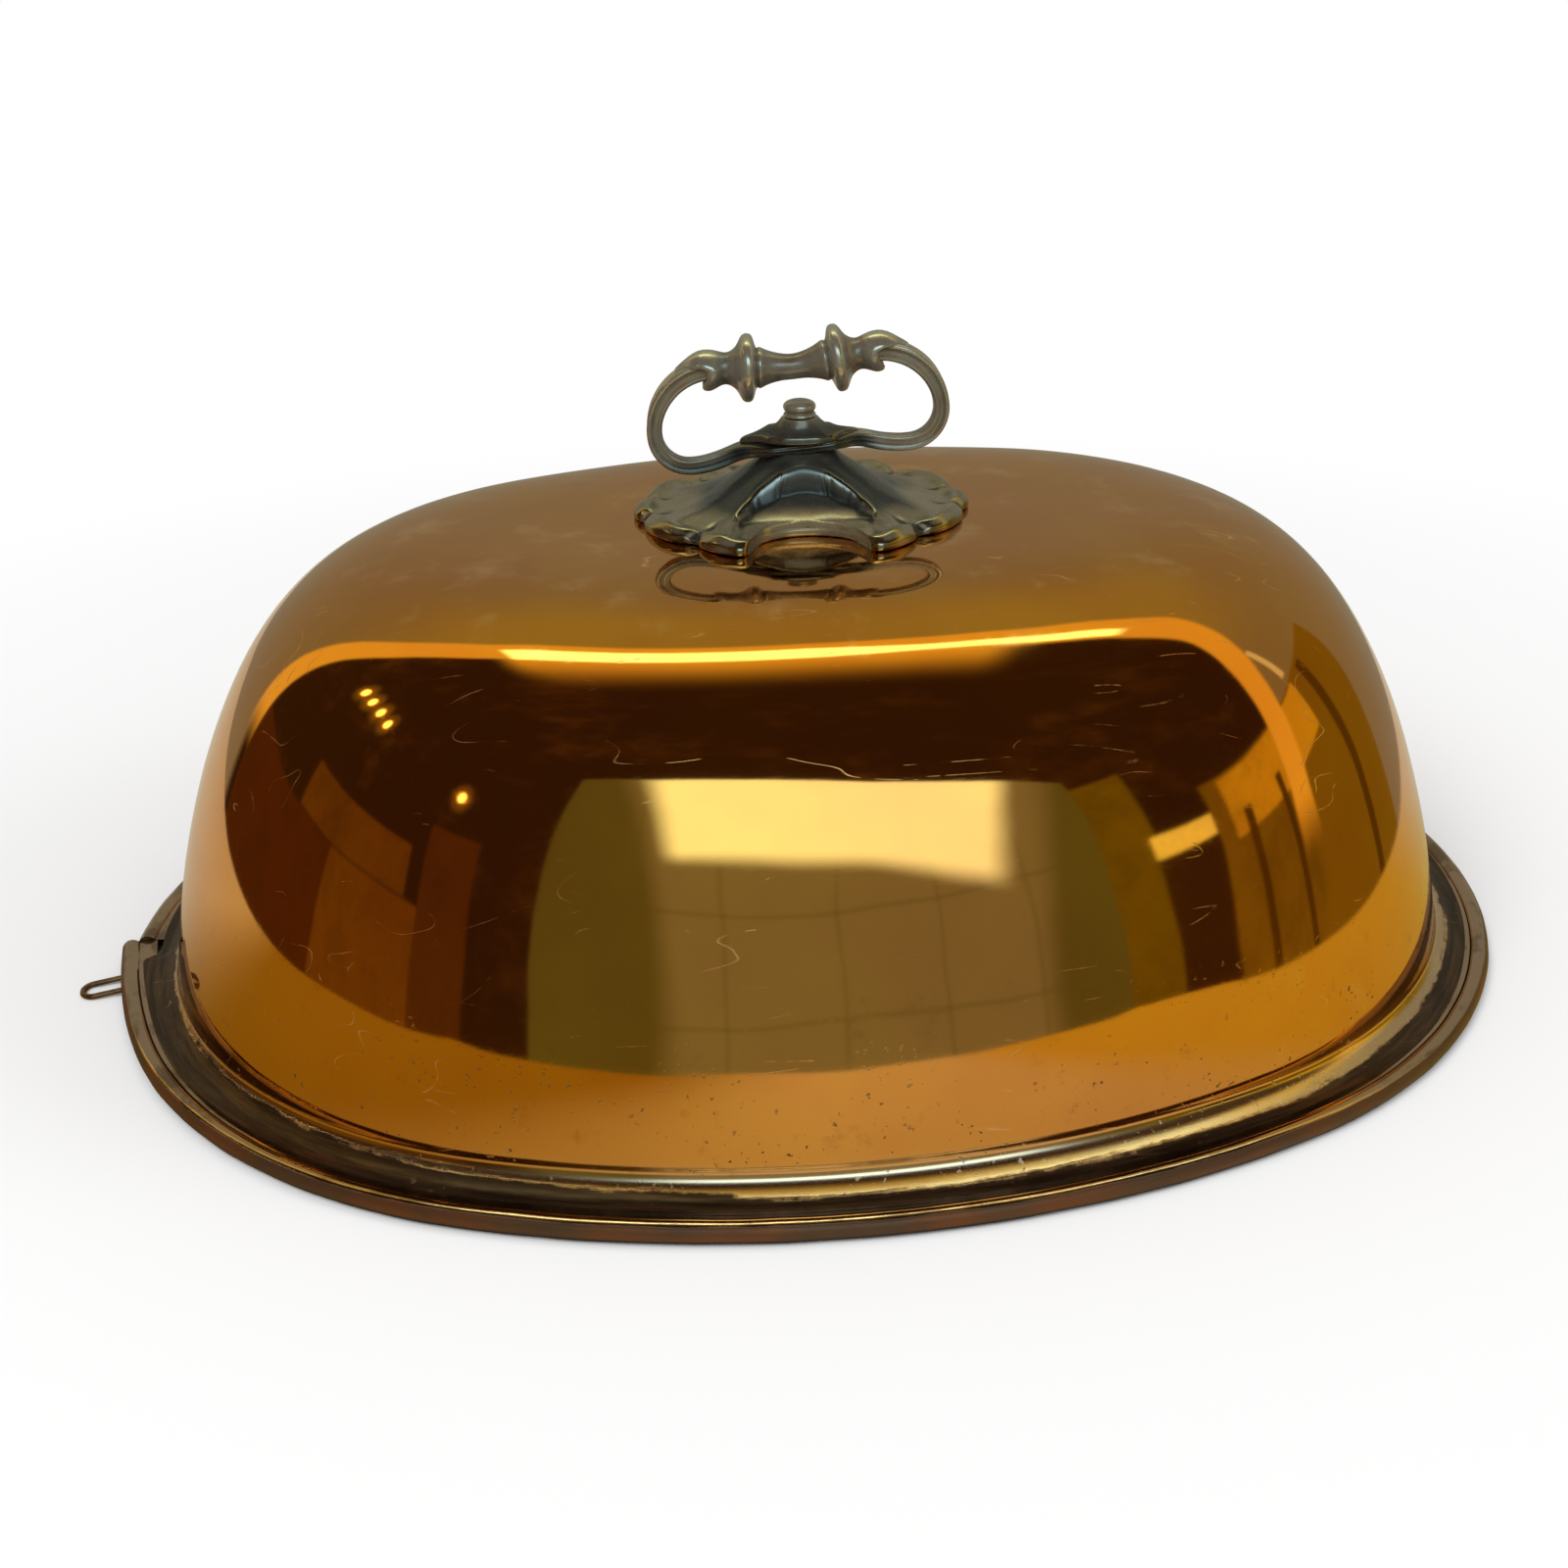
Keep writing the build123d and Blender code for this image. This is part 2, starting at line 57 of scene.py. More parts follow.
def planPlaces():
    # centres and radii of the four arcs of the oval, from its three sizes
    shift = plan["halfLength"] - plan["endRadius"]
    slack = plan["halfWidth"] - plan["endRadius"]
    squares = shift ** 2 + plan["halfWidth"] ** 2 - plan["endRadius"] ** 2
    sideRadius = squares / (2 * slack)
    sideShift = sideRadius - plan["halfWidth"]
    return shift, sideRadius, sideShift, math.degrees(math.atan2(sideShift, shift))


endShift, sideRadius, sideShift, endAngle = planPlaces()
sideTurn = 180 - 2 * endAngle


def insetAt(x, y):
    # how far a point lies inside the rim's outer edge, in millimetres
    across = abs(x)
    along = abs(y)
    if math.degrees(math.atan2(along, across - endShift)) < endAngle or along == 0:
        return plan["endRadius"] - math.hypot(across - endShift, along)
    return sideRadius - math.hypot(across, along + sideShift)


def select(*pieces):
    bpy.ops.object.select_all(action="DESELECT")
    for piece in pieces:
        piece.select_set(True)
    bpy.context.view_layer.objects.active = pieces[0]


def openMesh(piece):
    select(piece)
    bpy.ops.object.mode_set(mode="EDIT")


def closeMesh():
    bpy.ops.object.mode_set(mode="OBJECT")


def choose(piece, test):
    # selects the vertices that pass a test of their place, in millimetres
    closeMesh()
    for part in (piece.data.vertices, piece.data.edges, piece.data.polygons):
        part.foreach_set("select", [False] * len(part))
    for vertex in piece.data.vertices:
        vertex.select = test(vertex.co / mm)
    for edge in piece.data.edges:
        edge.select = all(piece.data.vertices[i].select for i in edge.vertices)
    for face in piece.data.polygons:
        face.select = all(piece.data.vertices[i].select for i in face.vertices)
    bpy.ops.object.mode_set(mode="EDIT")


def drawLine(name, points):
    # one vertex, extruded from point to point; left open in edit mode
    places = [Vector(point) * mm for point in points]
    bpy.ops.object.select_all(action="DESELECT")
    bpy.ops.mesh.primitive_plane_add(size=mm, location=places[0])
    piece = bpy.context.object
    piece.name = name
    bpy.ops.object.transform_apply(location=True)
    openMesh(piece)
    bpy.ops.mesh.select_all(action="SELECT")
    bpy.ops.mesh.merge(type="CENTER")
    for near, far in zip(places, places[1:]):
        bpy.ops.mesh.extrude_region_move(TRANSFORM_OT_translate={"value": far - near})
    bpy.ops.mesh.select_all(action="SELECT")
    return piece


def spin(degrees, steps, centre=(0, 0, 0), axis=(0, 0, 1)):
    # with no window a spin turns the other way, so the angle changes its sign
    middle = Vector(centre) * mm
    bpy.ops.mesh.spin(steps=steps, dupli=False, angle=-math.radians(degrees), center=middle, axis=axis)


def weld(distance=0.01):
    bpy.ops.mesh.select_all(action="SELECT")
    bpy.ops.mesh.remove_doubles(threshold=distance * mm)
    bpy.ops.mesh.normals_make_consistent(inside=False)


def modify(piece, kind, **settings):
    select(piece)
    made = piece.modifiers.new(kind.lower(), kind)
    for name, value in settings.items():
        setattr(made, name, value)
    bpy.ops.object.modifier_apply(modifier=made.name)


def smoothen(piece, levels):
    modify(piece, "SUBSURF", levels=levels, render_levels=levels)


def shade(piece, degrees=40):
    select(piece)
    bpy.ops.object.shade_smooth_by_angle(angle=math.radians(degrees))


def ripple(piece, name, size, height, group=""):
    # hand work leaves low, soft waves in a surface
    clouds = bpy.data.textures.new(name, "CLOUDS")
    clouds.noise_scale = size * mm
    clouds.noise_depth = 1
    settings = {"texture": clouds, "texture_coords": "LOCAL", "strength": height * mm, "mid_level": 0.5}
    if group:
        settings["vertex_group"] = group
    modify(piece, "DISPLACE", **settings)


def curveThrough(points, count):
    # evenly spaced points on a soft curve through a few chosen ones
    fine = []
    ends = [points[0]] + list(points) + [points[-1]]
    for before, a, b, after in zip(ends, ends[1:], ends[2:], ends[3:]):
        for step in range(20):
            t = step / 20
            blend = []
            for p, q, r, s in zip(before, a, b, after):
                bend = 2 * q + (r - p) * t + (2 * p - 5 * q + 4 * r - s) * t ** 2
                blend.append((bend + (3 * q - p - 3 * r + s) * t ** 3) / 2)
            fine.append(Vector(blend))
    fine.append(Vector(points[-1]))
    reach = [0.0]
    for a, b in zip(fine, fine[1:]):
        reach.append(reach[-1] + (b - a).length)
    even = []
    place = 0
    for step in range(count + 1):
        goal = reach[-1] * step / count
        while place < len(fine) - 2 and reach[place + 1] < goal:
            place += 1
        span = max(reach[place + 1] - reach[place], 1e-9)
        even.append(fine[place].lerp(fine[place + 1], min((goal - reach[place]) / span, 1)))
    return even


def between(value, knots):
    # straight-line reading of a short list of (place, height) pairs
    for (a, low), (b, high) in zip(knots, knots[1:]):
        if value <= b:
            return low + (high - low) * max(value - a, 0) / (b - a)
    return knots[-1][1]


def eased(value, low, high):
    share = min(max((value - low) / (high - low), 0), 1)
    return share * share * (3 - 2 * share)


# Shader maths: a wrapped socket takes part in sums, and one method makes every node

class Wire:
    def __init__(self, look, socket):
        self.look = look
        self.socket = socket

    def sum(self, operation, first, second):
        return self.look.node("ShaderNodeMath", {"operation": operation}, {0: first, 1: second})

    def __add__(self, other):
        return self.sum("ADD", self, other)

    def __radd__(self, other):
        return self.sum("ADD", other, self)

    def __sub__(self, other):
        return self.sum("SUBTRACT", self, other)

    def __rsub__(self, other):
        return self.sum("SUBTRACT", other, self)

    def __mul__(self, other):
        return self.sum("MULTIPLY", self, other)

    def __rmul__(self, other):
        return self.sum("MULTIPLY", other, self)


class Look:
    def __init__(self, owner):
        owner.use_nodes = True
        self.owner = owner
        self.tree = owner.node_tree
        self.tree.nodes.clear()

    def node(self, kind, settings, inputs, out=0):
        made = self.tree.nodes.new(kind)
        for name, value in settings.items():
            setattr(made, name, value)
        for place, value in inputs.items():
            if isinstance(value, Wire):
                self.tree.links.new(value.socket, made.inputs[place])
            else:
                made.inputs[place].default_value = value
        return Wire(self, made.outputs[out] if made.outputs else None)

    def place(self):
        return self.node("ShaderNodeTexCoord", {}, {}, "Object")

    def join(self, x, y, z):
        return self.node("ShaderNodeCombineXYZ", {}, {0: x, 1: y, 2: z})

    def size(self, value):
        return self.node("ShaderNodeMath", {"operation": "ABSOLUTE"}, {0: value})

    def band(self, value, middle, half, soft):
        # 1 within half of the middle, fading out over soft
        return self.rise(self.size(value - middle), half + soft, half)

    def stretch(self, place, scale, turn=(0, 0, 0)):
        angles = [math.radians(angle) for angle in turn]
        return self.node("ShaderNodeMapping", {}, {"Vector": place, "Scale": scale, "Rotation": angles})

    def split(self, place, out):
        return self.node("ShaderNodeSeparateXYZ", {}, {0: place}, out)

    def value(self, name):
        return self.node("ShaderNodeAttribute", {"attribute_name": name}, {}, "Fac")

    def noise(self, place, size, detail=3.0, rough=0.5):
        # size is how far apart the pattern's patches lie, in millimetres
        inputs = {"Vector": place, "Scale": 1 / (size * mm), "Detail": detail, "Roughness": rough}
        return self.node("ShaderNodeTexNoise", {}, inputs)

    def patch(self, across, up, left, right, low, high, soft):
        # 1 inside a rectangle, with an edge as soft along both directions
        wide = self.band(across, (left + right) / 2, (right - left) / 2, soft)
        return wide * self.band(up, (low + high) / 2, (high - low) / 2, soft / 60)

    def rise(self, value, low, high):
        # 0 below low, 1 above high; low and high may change places
        inputs = {"Value": value, "From Min": low, "From Max": high}
        return self.node("ShaderNodeMapRange", {"interpolation_type": "SMOOTHSTEP"}, inputs)

    def blend(self, share, first, second):
        settings = {"data_type": "RGBA"}
        return self.node("ShaderNodeMix", settings, {0: share, 6: colour(first), 7: colour(second)}, 2)

    def bump(self, height, depth):
        # depth is the height's full step, in millimetres
        return self.node("ShaderNodeBump", {}, {"Height": height, "Strength": 1.0, "Distance": depth * mm})

    def metal(self, tint, rough, normal=None, metallic=1.0):
        inputs = {"Base Color": colour(tint), "Roughness": rough, "Metallic": metallic}
        if normal:
            inputs["Normal"] = normal
        shader = self.node("ShaderNodeBsdfPrincipled", {}, inputs)
        self.node("ShaderNodeOutputMaterial", {}, {"Surface": shader})
        return self.owner


def colour(tint):
    if isinstance(tint, Wire):
        return tint
    return (tint[0], tint[1], tint[2], 1.0)


def newLook(name):
    return Look(bpy.data.materials.new(name))


copper = {
    "tint": (0.80, 0.37, 0.070),
    "red": (0.74, 0.31, 0.070),
    "milk": (0.82, 0.50, 0.25),
    # pale: tint painted into the polished cove, a painted highlight that whitens the bright band it mirrors
    "pale": (0.86, 0.70, 0.50),
    "grime": (0.120, 0.070, 0.038),
    "pit": (0.050, 0.028, 0.016),
    "stain": (0.34, 0.13, 0.03),
    "polishStart": 13.2,  # inset from the rim's edge at which the polish begins
}


def scratched(look, place, turn, spread, length, thin):
    # hair lines: where a stretched noise crosses its middle value
    turned = look.stretch(place, (1, thin, thin), turn)
    line = look.size(look.noise(turned, length, 1, 0.3) - 0.5)
    patch = look.noise(place, 10 + length / 5, 4, 0.65)
    return look.rise(line, 0.0034, 0.0012) * look.rise(patch, spread, spread + 0.08)


def copperFinish():
    look = newLook("polishedCopper")
    place = look.place()
    inset = look.value("inset")
    height = look.split(place, "Z")
    patches = look.noise(place, 70, 3, 0.55)
    cloudy = look.noise(place, 26, 5, 0.62)
    spun = look.join(look.split(place, "X"), look.split(place, "Y"), inset * 0.016)
    streaks = look.noise(spun, 36, 5, 0.65)
    jag = look.noise(place, 7, 4, 0.7)
    x = look.split(place, "X")
    ends = look.rise(x, -0.035, -0.075) * 3.3 + look.rise(x, -0.09, -0.19) * 1.8 + look.rise(x, 0.12, 0.20) * 2.2
    start = copper["polishStart"] + ends
    polished = look.rise(inset + (jag - 0.5) * 4 + (streaks - 0.5) * 5 - start, -0.6, 1.0)
    crown = look.rise(height, 0.142, 0.157)
    right = look.rise(look.split(place, "X"), 0.05, 0.20) * look.rise(height, 0.075, 0.035)
    milk = look.rise(cloudy, 0.52, 0.72) * (crown + right * 0.8)
    low = look.rise(height, 0.070, 0.014)
    pitted = look.rise(look.noise(place, 2.1, 2, 0.5), 0.655, 0.71)
    pits = pitted * look.rise(cloudy, 0.44, 0.60) * low
    bloom = look.rise(look.noise(place, 15, 5, 0.7), 0.58, 0.74) * look.rise(height, 0.105, 0.015)
    base = look.blend(look.rise(patches, 0.35, 0.7), copper["tint"], copper["red"])
    base = look.blend(milk * 0.5, base, copper["milk"])
    base = look.blend(bloom * 0.4, base, copper["stain"])
    base = look.blend(pits, base, copper["pit"])
    tarnish = look.blend(look.rise(streaks, 0.38, 0.66), copper["pit"], copper["grime"])
    base = look.blend(1 - polished, base, tarnish)
    scratches = scratched(look, place, (10, 25, 35), 0.575, 120, 9)
    scratches = scratches + scratched(look, place, (-30, 12, -25), 0.585, 151, 9)
    scratches = scratches + scratched(look, place, (50, -20, 80), 0.585, 177, 9)
    scratches = scratches + scratched(look, place, (0, 35, 10), 0.63, 42, 3)
    base = look.blend(scratches * 0.4, base, copper["milk"])
    # the polished cove is painted paler, a painted highlight that whitens its mirrored band; it is also made rougher
    cove = look.rise(inset, 20.5, 18.5) * polished
    base = look.blend(cove * 0.7, base, copper["pale"])
    wiped = look.rise(look.noise(look.stretch(place, (0.5, 6, 6), (0, 0, 20)), 8, 3, 0.6), 0.5, 0.8)
    rough = 0.045 + wiped * 0.03 + milk * 0.13 + bloom * 0.08 + pits * 0.4 + scratches * 0.2 + cove * 0.19
    rough = rough + (1 - polished) * (0.20 + streaks * 0.14)
    relief = look.noise(place, 5, 4, 0.6) * 0.02 + look.noise(place, 22, 1, 0.5) * 0.3 - scratches * 0.09 - pits * 0.5
    relief = relief + (1 - polished) * (streaks + jag) * 0.8
    metallic = 1 - (1 - polished) * 0.14 - scratches * 0.15 - pits * 0.4 - milk * 0.06
    return look.metal(base, rough, look.bump(relief, 0.1), metallic)


def tinFinish():
    look = newLook("tinnedInside")
    place = look.place()
    wiped = look.noise(look.stretch(place, (1, 1, 3)), 30, 5, 0.65)
    worn = look.rise(look.noise(place, 45, 5, 0.7), 0.60, 0.74)
    base = look.blend(look.rise(wiped, 0.3, 0.7), (0.46, 0.45, 0.42), (0.33, 0.32, 0.29))
    base = look.blend(worn * 0.8, base, (0.42, 0.22, 0.09))
    return look.metal(base, 0.34 + wiped * 0.2, look.bump(wiped, 0.2))


def rimFinish():
    look = newLook("rimCopper")
    place = look.place()
    crest = look.value("crest")
    around = look.join(look.split(place, "X"), look.split(place, "Y"), crest * 0.030)
    streaks = look.noise(around, 30, 5, 0.6)
    patches = look.noise(place, 34, 4, 0.55)
    rubbed = look.rise(crest + (streaks - 0.5) * 0.3 + (patches - 0.5) * 0.2, 0.55, 0.72)
    base = look.blend(look.rise(patches, 0.38, 0.62), (0.20, 0.075, 0.028), (0.13, 0.070, 0.034))
    # the bead's top is rubbed bright, and its pale tint is also a painted highlight line along the crest
    base = look.blend(rubbed, base, (0.60, 0.42, 0.29))
    base = look.blend(look.rise(streaks, 0.50, 0.64) * 0.6, base, (0.110, 0.060, 0.034))
    # near-black on the bead's underside and lower outer side: painted shade where the rim meets the table
    base = look.blend(look.rise(crest, -0.55, -0.80), base, (0.040, 0.024, 0.014))
    rough = 0.44 - rubbed * 0.36 + streaks * 0.08
    return look.metal(base, rough, look.bump(patches * 2 + streaks, 0.07), 0.75 + rubbed * 0.25)


pewter = {
    "dark": (0.034, 0.037, 0.033),
    "body": (0.230, 0.218, 0.168),
    "rubbed": (0.56, 0.52, 0.41),
    "brown": (0.205, 0.160, 0.105),
    "foot": (0.058, 0.066, 0.062),  # the foot is blacker than the grip
    # a warm tint painted where the casting lies low and flat over the copper: a painted reflection of the copper
    "paintedCopperReflection": (0.44, 0.36, 0.215),  # and warm where it lies flat on the copper
    "metallic": 0.58,  # the rest is dull oxide
}


def pewterFinish():
    look = newLook("tarnishedPewter")
    place = look.place()
    worn = look.value("wear")
    height = look.split(place, "Z")
    patches = look.noise(place, 12, 5, 0.6)
    fine = look.noise(place, 3.5, 3, 0.55)
    rubbed = look.rise(worn + (patches - 0.5) * 0.5, 0.52, 0.95)
    sunk = look.rise(worn + (patches - 0.5) * 0.4, 0.42, 0.10)
    base = look.blend(look.rise(patches, 0.45, 0.65), pewter["body"], pewter["brown"])
    aside = look.rise(look.size(look.split(place, "X")), 0.012, 0.034)
    low = look.rise(height + aside * 0.0125, 0.1955, 0.1890)
    # the lowest, flattest parts of the base get a painted reflection of the copper under them, stronger on the front
    # shelf
    flat = look.rise(height + look.noise(place, 14, 1, 0.5) * 0.004, 0.1705, 0.1670)
    shelfPaintedReflection = look.band(look.split(place, "X"), 0.002, 0.014, 0.008) * look.rise(look.split(place, "Y"), -0.019, -0.024)
    base = look.blend(low * 0.9, base, pewter["foot"])
    base = look.blend(flat * (0.6 + shelfPaintedReflection * 0.3), base, pewter["paintedCopperReflection"])
    base = look.blend(sunk * 0.9, base, pewter["dark"])
    base = look.blend(rubbed * (0.9 - low * 0.45), base, pewter["rubbed"])
    rough = 0.24 - rubbed * 0.05 + fine * 0.06
    relief = look.bump(patches + fine * 0.2, 0.05)
    return look.metal(base, rough, relief, pewter["metallic"] + low * 0.16 + rubbed * 0.26)


def plainMetal(name, tint, dull, rough):
    look = newLook(name)
    place = look.place()
    patches = look.noise(place, 9, 5, 0.65)
    fine = look.noise(place, 0.8, 3, 0.6)
    base = look.blend(look.rise(patches, 0.35, 0.68), tint, dull)
    return look.metal(base, rough + patches * 0.15, look.bump(fine, 0.03))


# The dome: its outline is drawn once and spun about the oval's four centres

dome = {
    "crownHeight": 160.0,
    "sheet": 1.2,
    "flangeTop": 7.0,
    "flangeEdge": 8.4,
    "wallInset": 20.0,
    "coveRadius": 5.0,
    "rampStart": 12.8,  # the flange rises a little before the cove
    "rampSlope": 21.8,
    "crownRound": 16.0,  # radius of the flat crown's two ends
    "crownPower": 4.23,
    "wallPower": 1.2,
    "wallSteps": 26,
    "pitch": 8.0,  # along the rim, from one column to the next
    "waveSize": 62.0,
    "waveHeight": 0.55,
}


def domeOutline():
    slope = math.radians(dome["rampSlope"])
    coveStart = dome["wallInset"] - dome["coveRadius"]
    ramp = (coveStart + dome["coveRadius"] * math.sin(slope) - dome["rampStart"]) * math.tan(slope)
    foot = dome["flangeTop"] + ramp + dome["coveRadius"] * math.cos(slope)
    reach = plan["endRadius"] - dome["wallInset"] - dome["crownRound"]
    rise = dome["crownHeight"] - foot
    points = []
    for step in range(4):
        inset = dome["flangeEdge"] + (dome["rampStart"] - dome["flangeEdge"]) * step / 3
        points.append((inset, dome["flangeTop"]))
    for step in range(5):
        angle = slope + (math.pi / 2 - slope) * step / 5
        inset = coveStart + dome["coveRadius"] * math.sin(angle)
        points.append((inset, foot - dome["coveRadius"] * math.cos(angle)))
    for step in range(dome["wallSteps"] + 1):
        cosine = max(math.cos(math.pi / 2 * step / dome["wallSteps"]), 0)
        across = 1 - cosine ** dome["crownPower"]
        inset = dome["wallInset"] + reach * (1 - cosine)
        points.append((inset, foot + rise * across ** (1 / dome["wallPower"])))
    return points


joint = {
    "halfAngle": 4.0,  # the finely divided stretch beside the joint
    "springStart": 55.0,  # the front end leaves the oval this far in front
    "springRadius": 345.0,
    "drawStart": 60.0,  # behind the joint the flange's edge draws in from here
    "drawRadius": 145.0,
    "step": -1.5,
}


def leavingArc(y, radius):
    # centre of an arc that leaves the left end smoothly at a height y
    angle = math.pi - math.asin(y / plan["endRadius"])
    slip = plan["endRadius"] - radius
    return Vector((-endShift + slip * math.cos(angle), slip * math.sin(angle))), math.degrees(angle)


springCentre, springAngle = leavingArc(-joint["springStart"], joint["springRadius"])
drawCentre, drawAngle = leavingArc(joint["drawStart"], joint["drawRadius"])


def edgeShift(x, y):
    # how far the rim's edge stands outside the oval here, beside the joint
    if x > -200 or y > joint["drawStart"] or y < -joint["springStart"]:
        return 0.0
    away = Vector((x + endShift, y)).normalized()
    centre, radius = drawCentre, joint["drawRadius"]
    if y < joint["step"]:
        centre, radius = springCentre, joint["springRadius"]
    gap = Vector((-endShift, 0)) - centre
    along = away.dot(gap)
    return math.sqrt(along ** 2 - gap.length_squared + radius ** 2) - along - plan["endRadius"]


def makeDome():
    start = math.radians(180 + joint["halfAngle"])
    points = []
    for inset, height in domeOutline():
        reach = plan["endRadius"] - inset
        points.append((-endShift + reach * math.cos(start), reach * math.sin(start), height))
    piece = drawLine("copperDome", points)
    endSteps = math.radians(endAngle) * plan["endRadius"] / dome["pitch"]
    sideSteps = round(math.radians(sideTurn) * sideRadius / dome["pitch"])
    shortTurn = endAngle - joint["halfAngle"]
    shortSteps = round(endSteps * shortTurn / endAngle)
    spin(shortTurn, shortSteps, (-endShift, 0, 0))
    spin(sideTurn, sideSteps, (0, sideShift, 0))
    spin(2 * endAngle, round(2 * endSteps), (endShift, 0, 0))
    spin(sideTurn, sideSteps, (0, -sideShift, 0))
    spin(shortTurn, shortSteps, (-endShift, 0, 0))
    spin(2 * joint["halfAngle"], 8, (-endShift, 0, 0))
    weld()
    inner = plan["endRadius"] - dome["crownRound"]
    choose(piece, lambda p: p.z > dome["crownHeight"] - 0.01 and insetAt(p.x, p.y) > inner - 0.05)
    for scale in (0.62, 0.5):
        bpy.ops.mesh.extrude_region_move()
        bpy.ops.transform.resize(value=(scale, scale, 1), center_override=(0, 0, 0))
    bpy.ops.mesh.select_all(action="SELECT")
    bpy.ops.mesh.normals_make_consistent(inside=False)
    closeMesh()
    for vertex in piece.data.vertices:
        x, y = vertex.co.x / mm, vertex.co.y / mm
        inset = insetAt(x, y)
        flangeShare = (dome["wallInset"] - dome["coveRadius"] - inset) / 5.6
        shift = edgeShift(x, y) * min(max(flangeShare, 0), 1)
        away = Vector((x + endShift, y, 0)).normalized()
        vertex.co += away * shift * mm
    if max(face.normal.z for face in piece.data.polygons) < 0.9:
        openMesh(piece)
        bpy.ops.mesh.select_all(action="SELECT")
        bpy.ops.mesh.flip_normals()
        closeMesh()
    smoothen(piece, 1)
    middleHole = 0.32 * (plan["endRadius"] - inner + endShift)
    choose(piece, lambda p: p.z > dome["crownHeight"] - 0.01 and p.xy.length < middleHole)
    bpy.ops.mesh.edge_face_add()
    closeMesh()
    handWork = piece.vertex_groups.new(name="handWork")
    for vertex in piece.data.vertices:
        x, y = vertex.co.x / mm, vertex.co.y / mm
        nearRim = eased(insetAt(x, y), 16, 34)
        nearHandle = eased(math.hypot(x, y), 40, 90)
        handWork.add([vertex.index], nearRim * (0.15 + 0.85 * nearHandle), "REPLACE")
    ripple(piece, "domeWaves", dome["waveSize"], dome["waveHeight"], "handWork")
    piece.data.materials.append(copperFinish())
    piece.data.materials.append(tinFinish())
    modify(piece, "SOLIDIFY", thickness=dome["sheet"] * mm, offset=-1, material_offset=1)
    shade(piece, 50)
    tell = piece.data.attributes.new("inset", "FLOAT", "POINT")
    for vertex in piece.data.vertices:
        tell.data[vertex.index].value = insetAt(vertex.co.x / mm, vertex.co.y / mm)
    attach(piece, "cover")
    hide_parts("dome_shell")
    print("dome made")
    return piece


# The rolled rim: the strip's section is drawn once and spun round, open at the left end

bead = {
    "radius": 3.7,
    "middle": 3.6,  # over the table, so that its foot is worn flat
    "sheet": 1.2,
    "tailInset": 13.0,
    "tailTop": 5.75,
    "slit": 0.4,
    "frontEnd": 11.3,
    "rearEnd": 13.6,
    "pitch": 4.0,
    "slotHalf": 1.6,
    "slotLow": -118.0,  # degrees round the bead from straight outward
    "slotHigh": 8.0,
    "legPlace": 4.6,  # of the ring's two legs along the bead
    "waveHeight": 0.35,
}


def beadOutline():
    # inset and height round the rolled strip: over the bead, round its foot, and back inside it
    radius = bead["radius"]
    bore = radius - bead["sheet"]
    middle = bead["middle"]
    tailLow = bead["tailTop"] - bead["sheet"]
    points = [(bead["tailInset"], tailLow), (bead["tailInset"], bead["tailTop"])]
    first = math.asin((bead["tailTop"] - middle) / radius)
    last = math.asin((tailLow - bead["slit"] - middle) / radius) + 2 * math.pi
    for step in range(31):
        angle = first + (last - first) * step / 30
        height = max(middle + radius * math.sin(angle), 0)
        points.append((radius + radius * math.cos(angle), height))
    first = math.asin((tailLow - bead["slit"] - middle) / bore) + 2 * math.pi
    last = math.asin((tailLow - middle) / bore)
    for step in range(19):
        angle = first + (last - first) * step / 18
        points.append((radius + bore * math.cos(angle), middle + bore * math.sin(angle)))
    points.append(points[0])
    return points


def angleAt(centre, radius, y):
    return 180 - math.degrees(math.asin((y - centre.y) / (radius - bead["radius"])))


def rimInset(x, y):
    # how far inside its own outer edge a point of the rolled rim lies
    if x > -200 or not -joint["springStart"] < y < bead["rearEnd"] + 3:
        return insetAt(x, y)
    sprung = joint["springRadius"] - (Vector((x, y)) - springCentre).length
    if y > bead["rearEnd"] - 0.1 and sprung > 4.5:
        return insetAt(x, y)
    return sprung


